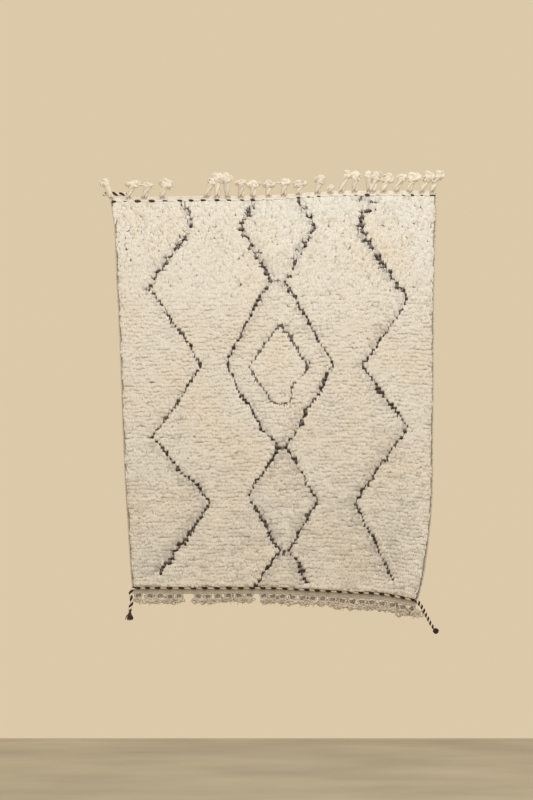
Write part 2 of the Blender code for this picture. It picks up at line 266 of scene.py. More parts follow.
def yarn_mesh(name, groups):
    """One mesh from groups of tubes. A group is the dict that tubes() returns, with a
    colour for each tube, each ring or each point."""
    area = [g["run"][:, -1].sum() * g["girth"] for g in groups]
    edges = np.concatenate([[0], np.cumsum(area)]) / np.sum(area)
    points, faces, colours, count = [], [], [], 0
    for group, low, high in zip(groups, edges, edges[1:]):
        for block, maps in tube_faces(group, low, high):
            faces.append((block + count, maps))
        shape = group["points"].shape
        points.append(group["points"].reshape(-1, 3))
        colour = np.asarray(group["colour"], float)
        while colour.ndim < 4:
            colour = np.expand_dims(colour, -2)
        colours.append(np.broadcast_to(colour, shape).reshape(-1, 3))
        count += len(points[-1])
    mesh = fill_mesh(name, np.concatenate(points), faces, np.concatenate(colours))
    if all("normals" in g for g in groups):
        normals = np.concatenate([g["normals"].reshape(-1, 3) for g in groups])
        mesh.normals_split_custom_set_from_vertices(normals)
    return mesh


# %% [markdown]
# ## Wool
# Handspun wool is matt. Light goes a little way into the loose fibres, which a sheen gives,
# and each yarn has fine grooves where its plies wind round each other. The colour comes
# from the "wool" attribute, so that one material serves every yarn, whatever it is dyed,
# and the fibres only make it lighter or darker.


# %% The yarn material
WOOL_ROUGHNESS = 0.92


def add_node(tree, kind, **values):
    """A node with its inputs, or its settings, set by name."""
    made = tree.nodes.new(kind)
    for key, value in values.items():
        if key in made.inputs:
            made.inputs[key].default_value = value
        else:
            setattr(made, key, value)
    return made


def new_material(name, roughness):
    """A material with its node tree and its Principled shader."""
    material = bpy.data.materials.new(name)
    material.use_nodes = True
    shader = material.node_tree.nodes["Principled BSDF"]
    shader.inputs["Roughness"].default_value = roughness
    return material, material.node_tree, shader


def make_wool(tree, shader, sheen, fibres, limits, tints, relief, strength, depth):
    """Sets wool's constants on the shader. Its colour is the "wool" attribute times a tint,
    which goes from one of the tints to the other as the fibres go between the limits. The
    relief raises a bump."""
    shader.inputs["Specular IOR Level"].default_value = 0.15
    shader.inputs["Sheen Weight"].default_value = sheen
    shader.inputs["Sheen Roughness"].default_value = 0.6
    shader.inputs["Sheen Tint"].default_value = (1.0, 0.95, 0.86, 1.0)
    tint = add_node(tree, "ShaderNodeMapRange")
    for socket, value in zip(("From Min", "From Max", "To Min", "To Max"), (*limits, *tints)):
        tint.inputs[socket].default_value = value
    wool = add_node(tree, "ShaderNodeAttribute", attribute_name="wool")
    shade = add_node(tree, "ShaderNodeVectorMath", operation="SCALE")
    bump = add_node(tree, "ShaderNodeBump", Strength=strength, Distance=depth)
    tree.links.new(fibres, tint.inputs["Value"])
    tree.links.new(wool.outputs["Color"], shade.inputs[0])
    tree.links.new(tint.outputs["Result"], shade.inputs["Scale"])
    tree.links.new(shade.outputs["Vector"], shader.inputs["Base Color"])
    tree.links.new(relief, bump.inputs["Height"])
    tree.links.new(bump.outputs["Normal"], shader.inputs["Normal"])


def yarn_material(name, twist, depth, contrast, sheen=0.2):
    """Wool with fibres that slant along the yarn: a stretched noise on the "yarn" map and a
    noise on the object's coordinates tint the attribute's colour, and a wave with the first noise
    raises the bump."""
    material, tree, shader = new_material(name, WOOL_ROUGHNESS)
    place = add_node(tree, "ShaderNodeUVMap", uv_map="yarn")
    slant = add_node(tree, "ShaderNodeMapping", Rotation=(0.0, 0.0, twist), Scale=(2.0, 2.0, 1.0))
    plies = add_node(tree, "ShaderNodeTexWave", Scale=1.0, Distortion=1.2, Detail=2.0)
    fibres = add_node(tree, "ShaderNodeTexNoise", Scale=9.0, Detail=3.0)
    spots = add_node(tree, "ShaderNodeTexCoord")
    clumps = add_node(tree, "ShaderNodeTexNoise", Scale=210.0, Detail=2.0)
    tree.links.new(place.outputs["UV"], slant.inputs["Vector"])
    tree.links.new(slant.outputs["Vector"], plies.inputs["Vector"])
    tree.links.new(slant.outputs["Vector"], fibres.inputs["Vector"])
    tree.links.new(spots.outputs["Object"], clumps.inputs["Vector"])
    both = add_node(tree, "ShaderNodeMath", operation="ADD")
    tree.links.new(fibres.outputs["Fac"], both.inputs[0])
    tree.links.new(clumps.outputs["Fac"], both.inputs[1])
    relief = add_node(tree, "ShaderNodeMath", operation="MULTIPLY_ADD")
    relief.inputs[1].default_value = 0.6
    tree.links.new(plies.outputs["Fac"], relief.inputs[0])
    tree.links.new(fibres.outputs["Fac"], relief.inputs[2])
    make_wool(tree, shader, sheen, both.outputs["Value"], (0.6, 1.4),
              (1.0 - contrast, 1.0 + 0.6 * contrast), relief.outputs["Value"], 0.5, depth)
    return material


CREAM = np.array((0.90, 0.845, 0.805))  # the rug's wool
WHITE = np.array((0.91, 0.88, 0.855))  # a whiter fleece, in patches
STRAW = np.array((0.89, 0.82, 0.735))  # a yellower one
HEATHER = np.array((0.56, 0.53, 0.53))  # grey wool carded in with the cream, also used as painted shade beside the lines and behind the lower fringe
DARK = np.array((0.045, 0.030, 0.020))  # the lines: black-brown sheep's wool
MADDER = np.array((0.085, 0.038, 0.034))  # the same, over-dyed reddish brown
WARP = np.array((0.90, 0.83, 0.755))  # the warp and its fringe

pile_wool = yarn_material("pile_wool", 0.5, 0.0020, 0.24)
dark_wool = yarn_material("dark_wool", 0.5, 0.0010, 0.15, sheen=0.03)
warp_yarn = yarn_material("warp_yarn", 0.8, 0.0008, 0.10, sheen=0.15)
cord_yarn = yarn_material("cord_yarn", 0.8, 0.0006, 0.14, sheen=0.10)
print("yarn materials:", [m.name for m in (pile_wool, dark_wool, warp_yarn, cord_yarn)])

# %% [markdown]
# ## The three loose cord tails
# Each border cord is twined from a dark and a cream yarn, and its ends hang free at the
# corners. A tail is still that two-ply cord: two yarns that wind round one line, half a
# turn apart. The line repeats the route of the CAD solid, so the cord lies where the solid
# lies. A tube with a striped texture would be simpler, but its outline would be straight,
# and it is the notched outline that reads as twisted.

# %% Their routes, from the border cord outwards
LEFT_TAIL = (
    (-0.4438, -0.0438, -1.2716), (-0.4500, -0.0442, -1.2733), (-0.4555, -0.0446, -1.2787),
    (-0.4592, -0.0448, -1.2860), (-0.4595, -0.0448, -1.2955), (-0.4575, -0.0446, -1.3060),
    (-0.4560, -0.0444, -1.3170), (-0.4585, -0.0442, -1.3285), (-0.4620, -0.0440, -1.3405),
    (-0.4622, -0.0440, -1.3500),
)
RIGHT_TAIL = (
    (0.4577, -0.0880, -1.3093), (0.4640, -0.0886, -1.3135), (0.4702, -0.0888, -1.3213),
    (0.4775, -0.0888, -1.3307), (0.4835, -0.0886, -1.3415), (0.4885, -0.0884, -1.3525),
    (0.4945, -0.0882, -1.3627), (0.5000, -0.0880, -1.3730), (0.5055, -0.0878, -1.3832),
    (0.5110, -0.0876, -1.3920), (0.5165, -0.0875, -1.3995),
)
TOP_TAIL = (
    (-0.4760, -0.0045, 0.0010), (-0.4880, -0.0045, 0.0030), (-0.5010, -0.0050, 0.0015),
    (-0.5140, -0.0045, 0.0035), (-0.5270, -0.0040, 0.0040), (-0.5390, -0.0040, 0.0030),
    (-0.5510, -0.0045, 0.0010),
)


# %% Two plies wound round a line
def winding(path, phase, reach, out=(0.0, -1.0, 0.0), flat=1.0):
    """The line that a ply follows: path + reach (cos(phase) out + flat sin(phase) across),
    where out is made square to the path and across = path's direction x out."""
    tangent = unit(np.gradient(path, axis=0))
    out = np.broadcast_to(out, path.shape)
    out = unit(out - (out * tangent).sum(-1, keepdims=True) * tangent)
    across = np.cross(tangent, out)
    turn = np.asarray(phase)[:, None]
    reach = np.broadcast_to(reach, (len(path),))[:, None]
    return path + reach * (np.cos(turn) * out + flat * np.sin(turn) * across)


def two_ply(path, phase, reach, dark_size, cream_size, sides=7):
    """A dark ply and a cream one, half a turn apart."""
    groups = []
    for start, size, colour in ((0, dark_size, DARK), (np.pi, cream_size, CREAM * 0.95)):
        line = winding(path, phase + start, reach)
        size = np.broadcast_to(size, (len(path),))
        group = tubes(line[None], size[None], size[None], (0.0, -1.0, 0.0), sides)
        group["colour"] = np.broadcast_to(colour, (1, len(path), 3))
        groups.append(group)
    return groups


def length_of(path):
    return float(np.linalg.norm(np.diff(path, axis=0), axis=1).sum())


def tail(name, route, lay, start, stout, narrowing=0.0):
    """A tail whose plies make a full turn in each lay. Stout is a ply's radius; the tail
    gets thinner towards its end by the share of narrowing."""
    path = walk(route, 0.0022)
    share = np.linspace(0, 1, len(path))
    phase = 2 * np.pi * share * length_of(path) / lay + start
    size = stout * (1 - narrowing * share)
    groups = two_ply(path, phase, 0.76 * size, size * 1.10, size * 0.95)
    piece = add_piece(
        name, yarn_mesh(name, groups), cord_yarn, ["corner_" + name]
    )
    return piece, path


left_tail, left_path = tail("tail_left", LEFT_TAIL, 0.022, 0.3, 0.0034)
right_tail, right_path = tail("tail_right", RIGHT_TAIL, 0.0145, 0.0, 0.0036, narrowing=0.20)
top_tail, top_path = tail("tail_top", TOP_TAIL, 0.023, 2.2, 0.0035)


# %% [markdown]
# ## The tassel and the ball on the tails
# The left tail ends in a small dark tassel: a bundle of cut yarn, bound near its top, whose
# strands spread below the binding. The right one ends in a ball of the same wool. Both are
# built as the strands they are made of, over a smaller solid core that no light shines
# through. A single lathe-turned shape would look like a bead.


# %% Strands round a core
BALL, BALL_GAP = 0.0190, 0.0003  # its diameter, and from its cord's end to it, in metres
TASSEL_GAP, TASSEL_LENGTH, TASSEL_WIDTH = 0.0012, 0.027, 0.024
PLUM = MADDER * 0.75


def end_of(path):
    """The last point of a path and its direction there."""
    return path[-1], unit(path[-1] - path[-2])


def spots_on_ball(count):
    """Directions spread evenly over a ball: height 1 - 2 (k + 1/2) / n, turned by the
    golden angle from each to the next."""
    k = np.arange(count)
    up = 1 - 2 * (k + 0.5) / count
    round_it = k * np.pi * (3 - np.sqrt(5))
    flat = np.sqrt(1 - up * up)
    return np.stack([flat * np.cos(round_it), flat * np.sin(round_it), up], -1)


def core(centre, axis, shares, radii, colour, sides=12):
    """A solid of round rings: at each share along the axis, a ring of that radius."""
    path = centre + np.asarray(shares)[:, None] * axis
    group = tubes(path[None], np.array([radii]), np.array([radii]), (0.0, -1.0, 0.0), sides)
    group["colour"] = np.broadcast_to(colour, (1, len(path), 3))
    return group


def tassel_groups(top, run, seed=3):
    """Strands from a bound neck, each with its own angle, length and spread. The table
    open_up says what share of its spread a strand has at each step down."""
    rng = np.random.default_rng(seed)
    count, t = 44, np.array([0.0, 0.18, 0.45, 0.75, 1.0])
    angle = rng.uniform(0, 2 * np.pi, count)
    spread = TASSEL_WIDTH / 2 * np.sqrt(rng.uniform(0.05, 1.0, count)) * 0.9
    spread[:2], angle[:2] = TASSEL_WIDTH * 0.56, (np.pi, 2.9)
    long = TASSEL_LENGTH * rng.uniform(0.80, 1.0, count)
    open_up = np.array([0.16, 0.30, 0.75, 1.0, 0.95])
    out = np.stack([np.cos(angle), np.sin(angle), np.zeros(count)], -1)
    paths = top + run * (long[:, None] * (0.10 + 0.90 * t))[..., None]
    paths = paths + out[:, None] * (spread[:, None] * open_up)[..., None]
    size = np.array([0.0010, 0.0012, 0.0013, 0.0012, 0.0007])
    strands = tubes(paths, size, size, (0.0, -1.0, 0.01), 5)
    strands["colour"] = PLUM * rng.uniform(0.7, 1.5, (count, 1, 1)) * np.ones((1, 5, 1))
    head = core(top, run * TASSEL_LENGTH, (0.0, 0.06, 0.14, 0.22, 0.28, 0.55, 0.80),
                (0.0024, 0.0050, 0.0056, 0.0046, 0.0044, 0.0070, 0.0050), PLUM)
    t = np.linspace(0, 1, 60)
    turn = 2 * np.pi * 3 * t
    binding = top + run * (TASSEL_LENGTH * (0.20 + 0.09 * t))[:, None]
    binding = binding + 0.0050 * np.stack([np.cos(turn), np.sin(turn), 0 * t], -1)
    wrap = tubes(binding[None], 0.0009, 0.0009, (0.0, 0.0, 1.0), 5)
    wrap["colour"] = MADDER.reshape(1, 1, 3) * 1.3
    return [strands, head, wrap]


def ball_groups(centre, seed=4):
    """Short tufts that stand out of a core, with their tips near the ball's surface."""
    rng = np.random.default_rng(seed)
    out = unit(spots_on_ball(230) + rng.normal(0, 0.06, (230, 3)))
    reach = BALL / 2 * rng.uniform(0.92, 1.06, 230)
    shares = np.array([0.55, 0.82, 1.0])
    paths = centre + out[:, None] * (reach[:, None] * shares)[..., None]
    size = np.array([0.0010, 0.0012, 0.0005])
    side = unit(np.cross(out, rng.normal(0, 1, (230, 3))))
    tufts = tubes(paths, size, size, side[:, None], 5)
    tufts["colour"] = PLUM * rng.uniform(0.6, 1.5, (230, 1, 1)) * np.ones((1, 3, 1))
    up = np.linspace(-0.96, 0.96, 9)
    inner = core(centre, np.array([0, 0, BALL * 0.45]), up, BALL * 0.45 * np.sqrt(1 - up**2), PLUM)
    return [tufts, inner]


end, run = end_of(left_path)
tassel = add_piece(
    "dark_tassel",
    yarn_mesh("dark_tassel", tassel_groups(end + run * TASSEL_GAP, run)),
    cord_yarn, ["wool_tassel"],
)
end, run = end_of(right_path)
ball = add_piece(
    "dark_ball",
    yarn_mesh("dark_ball", ball_groups(end + run * (BALL / 2 + BALL_GAP))),
    cord_yarn, ["wool_ball"],
)


# %% [markdown]
# ## The cloth as it hangs
# The rug tapers towards its lower end, its top edge rises to the right, soft waves run down
# it, and its lower right corner curls away from the wall. One function says where a point
# of the cloth is, from two shares, across and down, and its height above the back. Every
# lock, cord and fringe is placed through it, so they all share the same folds. The numbers
# repeat the CAD source. A cloth simulation would find folds of its own, and these are known.

# %% The hanging shape, in metres and in shares of the width and the length
LENGTH, WEAVE, PILE = 1.30, 0.004, 0.016  # the cloth's length; thickness of ground and pile
HEADING, BAND = 0.015, 0.020  # how far down, and how far up, the border cords run
FLAT_BACK, LEAVES_WALL = 0.024, 0.21  # flat on the wall to here, and free after so much more
GAP = 0.0003  # between pieces that touch
TOP_CORD, BOTTOM_CORD = 0.0070, 0.0080  # the border cords' diameters
EDGE_ROUND, END_ROUND = 0.012, 0.008  # over what width the pile rounds off
WAVE, CURL, PILE_UNEVEN = 0.0035, 0.045, 0.0012  # how far waves, curl and pile go in or out
CURL_ACROSS, CURL_DOWN = 0.78, 0.62  # the shares at which the corner starts to curl
#        down   left     right    off the wall
SIDES = (
    (0.000, -0.5310, 0.5320, 0.000), (0.050, -0.5215, 0.5312, 0.004),
    (0.250, -0.5090, 0.5245, 0.008), (0.500, -0.4965, 0.5215, 0.013),
    (0.750, -0.4875, 0.5190, 0.019), (1.000, -0.4755, 0.5125, 0.026),
    (1.120, -0.4675, 0.4985, 0.030), (1.220, -0.4610, 0.4815, 0.033),
    (1.300, -0.4540, 0.4580, 0.036),
)
#      across  height
TOP_EDGE = (
    (0.00, -0.0082), (0.25, -0.0043), (0.50, 0.0000), (0.58, 0.0055), (0.68, 0.0112),
    (1.00, 0.0132),
)
#         across  height
BOTTOM_EDGE = (
    (0.00, -1.2915), (0.30, -1.2930), (0.53, -1.2935), (0.65, -1.3000), (0.75, -1.3060),
    (0.88, -1.3125), (0.94, -1.3205), (1.00, -1.3315),
)


def side_edges(down):
    """The x of the left and right edge, and the stand-off, read from the table."""
    rows = np.array(SIDES)
    at = np.asarray(down) * LENGTH
    return [smooth_table(at, rows[:, 0], rows[:, i]) for i in (1, 2, 3)]


def back_point(across, down):
    """A point of the back: x goes from the left edge to the right one, z from the top edge
    to the bottom one, and y is the stand-off plus two crossed sine waves plus the curl."""
    across, down = np.broadcast_arrays(across, down)
    left, right, off = side_edges(down)
    top = smooth_table(across, *np.array(TOP_EDGE).T)
    bottom = smooth_table(across, *np.array(BOTTOM_EDGE).T)
    waves = np.sin(2 * np.pi * (1.5 * across + 0.35 * down) + 0.6)
    waves = waves + 0.4 * np.sin(2 * np.pi * (2.7 * across - 0.6 * down) + 2.0)
    curl = ease((across - CURL_ACROSS) / (1 - CURL_ACROSS)) ** 2
    curl = curl * ease((down - CURL_DOWN) / (1 - CURL_DOWN))
    free = ease((down * LENGTH - FLAT_BACK) / LEAVES_WALL)
    y = -(off + WAVE * waves * np.minimum(1.0, 2 * down)) * free - CURL * curl
    x = left + (right - left) * across
    z = top + (bottom - top) * down
    return np.stack([x, np.minimum(y, 0.0), z], -1)


def front_direction(across, down):
    """The unit direction out of the pile: down the cloth x across it, turned towards -Y."""
    step = 1e-3
    along = back_point(across + step, down) - back_point(across - step, down)
    fall = back_point(across, down + step) - back_point(across, down - step)
    out = unit(np.cross(fall, along))
    return out * np.where(out[..., 1:2] > 0, -1.0, 1.0)


def cloth_point(across, down, height):
    """The back's point plus height times the front direction."""
    across, down, height = np.broadcast_arrays(across, down, height)
    return back_point(across, down) + front_direction(across, down) * height[..., None]


def rounded(x):
    """A quarter circle, 0 at 0 and 1 at 1."""
    return np.sqrt(1 - (1 - np.clip(x, 0.0, 1.0)) ** 2)


PILE_START = HEADING + TOP_CORD / 2 + 2 * GAP
PILE_END = LENGTH - BAND - BOTTOM_CORD / 2 - 2 * GAP


def thickness(across, down):
    """The weave plus the pile, which rounds off in a quarter circle at all four edges."""
    left, right, _ = side_edges(down)
    side = np.minimum(across, 1 - across) * (right - left)
    full = rounded(side / EDGE_ROUND) * rounded((down * LENGTH - PILE_START) / END_ROUND)
    full = full * rounded((PILE_END - down * LENGTH) / END_ROUND)
    uneven = np.sin(17 * across + 4 * down) * np.sin(13 * down - 6 * across + 1.0)
    return WEAVE + (PILE + PILE_UNEVEN * uneven) * full


low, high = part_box("rug_body")
corner = cloth_point(1.0, 1.0, 0.0)
print(f"body {high[0] - low[0]:.3f} m wide; its lower right corner is at {np.round(corner, 3)}")

# %% [markdown]
# ## The chart of dark lines
# A weaver of these rugs keeps no drawing. The wool changes wherever a line comes by and
# moves a knot to one side in the next row, so each line is a run of short dashes. It
# is enough to note, for each line, where it turns. The chart has centimetres across from
# the middle, centimetres down from the top edge, and how strongly the line shows there: at
# 0.5 knots are missing, and above 1 they spread. The four zigzags run the whole length, and
# a small diamond stands inside the middle one.

# %% Where the lines turn
#      across   down   strength
FAR_LEFT = (
    (-28.8, 2.2, 0.5), (-26.2, 8.3, 1.1), (-27.2, 11.9, 0.5), (-29.8, 16.4, 0.8),
    (-33.4, 21.0, 1.1), (-36.6, 24.9, 1.1), (-39.7, 30.7, 0.9), (-37.3, 33.9, 0.6),
    (-32.1, 41.7, 0.7), (-29.2, 45.6, 0.7), (-26.2, 50.1, 0.7), (-23.3, 55.3, 0.9),
    (-28.2, 62.8, 0.6), (-31.1, 68.0, 0.7), (-34.5, 72.5, 0.7), (-39.0, 78.3, 1.1),
    (-34.5, 83.8, 1.0), (-30.5, 89.0, 1.1), (-26.6, 92.3, 1.2), (-23.7, 94.8, 1.2),
    (-20.7, 100.0, 1.1), (-26.2, 108.5, 1.3), (-32.1, 116.2, 1.5), (-36.6, 122.2, 1.3),
)
MIDDLE_LEFT = (
    (-7.1, 2.2, 0.6), (-8.4, 5.4, 1.1), (-10.7, 10.0, 1.0), (-8.1, 15.8, 1.1),
    (-4.9, 21.3, 1.2), (-2.6, 24.5, 1.2), (-0.8, 27.5, 1.1), (-4.9, 33.9, 1.0),
    (-6.5, 37.5, 1.1), (-9.7, 44.0, 1.1), (-13.9, 51.8, 0.8), (-15.1, 55.3, 0.6),
    (-11.7, 62.4, 0.8), (-9.1, 66.3, 0.9), (-6.5, 70.5, 1.0), (-3.6, 76.1, 1.0),
    (1.5, 80.9, 1.25), (1.5, 82.6, 1.25), (-2.6, 89.3, 0.8), (-5.5, 92.3, 0.8), (-7.8, 97.8, 0.9),
    (-4.9, 102.9, 1.1), (-1.3, 108.5, 1.2), (0.6, 113.3, 1.4), (2.3, 115.3, 1.5),
    (-0.6, 118.8, 1.3), (-2.6, 121.7, 1.3), (-5.6, 126.2, 1.2),
)
MIDDLE_RIGHT = (
    (8.3, 1.2, 1.0), (10.7, 5.4, 1.0), (13.6, 10.9, 1.2), (9.7, 17.4, 1.1),
    (7.5, 21.9, 0.8), (5.5, 26.2, 0.7), (3.7, 28.1, 0.8), (6.2, 32.0, 0.9),
    (8.4, 35.6, 1.0), (10.4, 39.1, 1.1), (12.6, 43.3, 1.0), (15.9, 49.2, 0.9),
    (19.8, 55.3, 0.8), (17.5, 58.2, 0.6), (16.2, 61.8, 1.0), (13.9, 65.4, 1.0),
    (10.4, 69.9, 0.9), (8.7, 74.8, 0.9), (4.7, 80.7, 1.25), (4.7, 82.6, 1.25), (6.2, 84.8, 1.0),
    (8.4, 88.4, 0.8), (10.4, 92.3, 0.9), (12.6, 95.8, 1.1), (14.7, 99.4, 1.2),
    (12.3, 102.3, 1.0), (9.7, 107.5, 0.9), (5.2, 115.3, 1.5), (8.1, 118.8, 1.3),
    (10.0, 123.4, 1.4), (11.2, 126.0, 1.3),
)
FAR_RIGHT = (
    (30.6, 1.6, 1.2), (32.1, 2.9, 1.2), (29.2, 6.4, 0.9), (27.9, 9.6, 1.0),
    (30.1, 14.5, 1.1), (32.4, 17.1, 1.1), (35.2, 22.6, 1.2), (40.5, 29.7, 1.2),
    (43.4, 33.6, 1.1), (41.8, 37.2, 0.8), (39.5, 40.7, 0.9), (36.3, 45.3, 1.0),
    (33.7, 48.5, 0.9), (28.8, 55.6, 1.0), (32.4, 60.2, 1.0), (36.6, 66.7, 1.2),
    (40.5, 70.5, 1.1), (43.1, 75.1, 0.9), (42.1, 78.0, 0.8), (38.6, 81.9, 0.8),
    (36.3, 85.4, 0.9), (32.4, 91.0, 0.9), (28.8, 95.8, 0.9), (26.6, 100.0, 1.1),
    (29.6, 105.9, 1.1), (32.4, 111.0, 1.2), (35.6, 117.5, 1.3), (38.8, 124.3, 1.1),
)
DIAMOND_LEFT = (
    (1.9, 42.4, 0.9), (0.0, 45.0, 0.8), (-3.1, 49.2, 0.7), (-5.5, 53.0, 0.7),
    (-7.5, 55.8, 0.6), (-4.9, 60.5, 0.6), (-1.9, 64.4, 0.7), (-0.3, 67.0, 0.9),
)
DIAMOND_RIGHT = (
    (1.9, 42.4, 0.9), (4.9, 45.3, 0.8), (7.1, 49.2, 0.4), (9.2, 52.5, 0.6),
    (10.8, 54.7, 0.9), (10.4, 58.2, 0.8), (6.8, 60.8, 0.4), (5.8, 64.7, 0.5),
    (4.9, 68.0, 0.7),
)
#             points, how much greyer than black-brown
LINES = (
    (FAR_LEFT, 0.0), (MIDDLE_LEFT, 0.0), (MIDDLE_RIGHT, 0.0), (FAR_RIGHT, 0.0),
    (DIAMOND_LEFT, 0.25), (DIAMOND_RIGHT, 0.25),
)
OUTER_SIDE = (-1, 1, -1, -1, -1, 1)  # the side on which each line is feathered
DIAMOND_FOOT = -0.677  # height of the row across the small diamond's foot
#            height, middle, half width of the rows that join two lines
MEETINGS = ((-0.280, 0.019, 0.009), (-0.819, 0.031, 0.014), (-1.157, 0.037, 0.006))


def near_lines(x, z):
    """For each place: how far it is from its nearest line, signed, how strong the line is
    there, and which line. The distance is the sideways one times the cosine of the slope."""
    best = np.full(np.shape(x), 1.0)
    strength, which = np.zeros(np.shape(x)), np.zeros(np.shape(x), int)
    for number, (points, _) in enumerate(LINES):
        across, down, power = (np.array(column) for column in zip(*points))
        across, down = across / 100, down / 100
        slope = np.interp(-z, down, np.gradient(across, down))
        gap = (x - np.interp(-z, down, across)) / np.sqrt(1 + slope**2)
        gap = np.where((-z > down[0] - 0.006) & (-z < down[-1] + 0.004), gap, 1.0)
        nearer = np.abs(gap) < np.abs(best)
        best = np.where(nearer, gap, best)
        strength = np.where(nearer, np.interp(-z, down, power), strength)
        which = np.where(nearer, number, which)
    return best, strength, which


print(len(LINES), "lines,", sum(len(points) for points, _ in LINES), "points in all")

# %% [markdown]
# ## The ground weave
# Under the pile is a plain cloth of warp and weft, and every lock is knotted round its
# warps. The cloth is one thin closed sheet. Its back is seen from behind, so it is fine
# enough for a ridge along each row of knots, and it shows the dark lines again, knot by
# knot. Its front is under the pile, so it has an eighth of the rows. The finer weave is
# left to the material, which counts warps and wefts on the "weave" map.

# %% Count the knots
KNOTS = 168  # knots in a row
ROW = 0.0120  # metres from one row of knots to the next
FIRST_ROW = PILE_START - 0.0042  # the first row is rooted under the border cord
ROWS = int((PILE_END - FIRST_ROW) / ROW)
FRONT_STEP = 8  # back rows to one front row
BACK_ROWS = 36 * FRONT_STEP + 1
GROUND_COLUMNS = 110
GROUND = 0.0034  # thickness of the ground, under the pile
KNOT_RIDGE = 0.0009  # how far the knots' backs stand out between the wefts
print(f"{ROWS} rows of {KNOTS} knots, {ROWS * KNOTS} in all")


# %% The weave material
def weave_material(name, map_name, wefts, warps, contrast, depth, shift=0.5):
    """Plain weave on a map: |sin| of the weft count times |sin| of the warp count, the
    wefts moved half a step from each warp to the next."""
    material, tree, shader = new_material(name, WOOL_ROUGHNESS)
    place = add_node(tree, "ShaderNodeUVMap", uv_map=map_name)
    split = add_node(tree, "ShaderNodeSeparateXYZ")
    tree.links.new(place.outputs["UV"], split.inputs[0])

    def math(operation, first, second=None):
        made = add_node(tree, "ShaderNodeMath", operation=operation)
        for k, value in enumerate((first, second)):
            if isinstance(value, bpy.types.NodeSocket):
                tree.links.new(value, made.inputs[k])
            elif value is not None:
                made.inputs[k].default_value = value
        return made.outputs[0]

    warp_count = math("MULTIPLY", split.outputs["Y"], warps)
    offset = math("MULTIPLY", math("FLOOR", warp_count), shift)
    weft_count = math("ADD", math("MULTIPLY", split.outputs["X"], wefts), offset)
    over_warp = math("ABSOLUTE", math("SINE", math("MULTIPLY", warp_count, np.pi)))
    over_weft = math("ABSOLUTE", math("SINE", math("MULTIPLY", weft_count, np.pi)))
    relief = math("MULTIPLY", math("POWER", over_warp, 0.6), math("POWER", over_weft, 0.6))
    spots = add_node(tree, "ShaderNodeTexCoord")
    fibres = add_node(tree, "ShaderNodeTexNoise", Scale=420.0, Detail=3.0)
    tree.links.new(spots.outputs["Object"], fibres.inputs["Vector"])
    height = math("ADD", relief, math("MULTIPLY", fibres.outputs["Fac"], 0.5))
    make_wool(tree, shader, 0.12, height, (0.2, 1.3), (1.0 - contrast, 1.04), height, 0.8, depth)
    return material


ground_wool = weave_material("ground_wool", "weave", 2.0, 2.0, 0.28, 0.0012, shift=0.0)


# %% Knit the two grids together at the rim
def grid_faces(rows, columns, first, flip):
    """Quads of a grid of points that is numbered row by row from first."""
    r, c = np.meshgrid(np.arange(rows - 1), np.arange(columns - 1), indexing="ij")
    a = first + r * columns + c
    quads = np.stack([a, a + 1, a + columns + 1, a + columns], -1).reshape(-1, 4)
    return quads[:, ::-1] if flip else quads


def ground_mesh():
    """Back grid, front grid with every eighth row, and a rim. On the left and right sides
    a rim face joins nine points of the back to two of the front."""
    columns = GROUND_COLUMNS + 1
    across, down = np.meshgrid(np.linspace(0, 1, columns), np.linspace(0, 1, BACK_ROWS))
    knot_row = (down * LENGTH - FIRST_ROW) / ROW
    on_pile = (knot_row > 0) & (knot_row < ROWS)
    rng = np.random.default_rng(7)
    between = 0.5 + 0.5 * np.cos(2 * np.pi * knot_row)
    inward = KNOT_RIDGE * np.where(on_pile, between, 0.2)
    inward = inward + 0.0003 * rng.random(across.shape)
    back = cloth_point(across, down, inward)
    front = cloth_point(across[::FRONT_STEP], down[::FRONT_STEP], GROUND)
    gap, strength, _ = near_lines(back[..., 0], back[..., 2])
    dark = (np.abs(gap) < 0.0058 * (0.4 + strength * rng.uniform(0.4, 1.2, gap.shape))) & on_pile
    shade = 1 + 0.05 * wander(back[..., 0], back[..., 2], 0.05, 8)[..., None]
    colour = np.where(dark[..., None], DARK * 1.3, WARP * 0.97 * shade)
    colours = np.concatenate([colour.reshape(-1, 3), (0 * front + WARP * 0.9).reshape(-1, 3)])

    start = across.size
    inner = len(front)
    left_back = np.arange(BACK_ROWS) * columns
    left_front = start + np.arange(inner) * columns
    spans = np.arange(inner - 1)[:, None] * FRONT_STEP + np.arange(FRONT_STEP + 1)
    left = np.concatenate(
        [left_back[spans], left_front[1:, None], left_front[:-1, None]], axis=1
    )
    right = np.concatenate(
        [left_back[spans] + columns - 1, left_front[1:, None] + columns - 1,
         left_front[:-1, None] + columns - 1], axis=1)[:, ::-1]
    c = np.arange(columns - 1)
    top = np.stack([c, start + c, start + c + 1, c + 1], -1)
    low_b, low_f = (BACK_ROWS - 1) * columns, start + (inner - 1) * columns
    bottom = np.stack([low_b + c, low_b + c + 1, low_f + c + 1, low_f + c], -1)
    blocks = [
        grid_faces(BACK_ROWS, columns, 0, False),
        grid_faces(inner, columns, start, True),
        left, right, top, bottom,
    ]
    counts = np.stack([across * KNOTS * 2, knot_row * 2], -1).reshape(-1, 2)
    thin = np.stack([across * KNOTS * 2, knot_row * 2], -1)[::FRONT_STEP].reshape(-1, 2)
    counts = np.concatenate([counts, thin])[:, ::-1]
    faces = [(block, [counts[block.ravel()] * 0.5]) for block in blocks]
    points = np.concatenate([back.reshape(-1, 3), front.reshape(-1, 3)])
    return fill_mesh("ground_weave", points, faces, colours, ("weave",))


ground = add_piece("ground_weave", ground_mesh(), ground_wool, ["rug_body"])

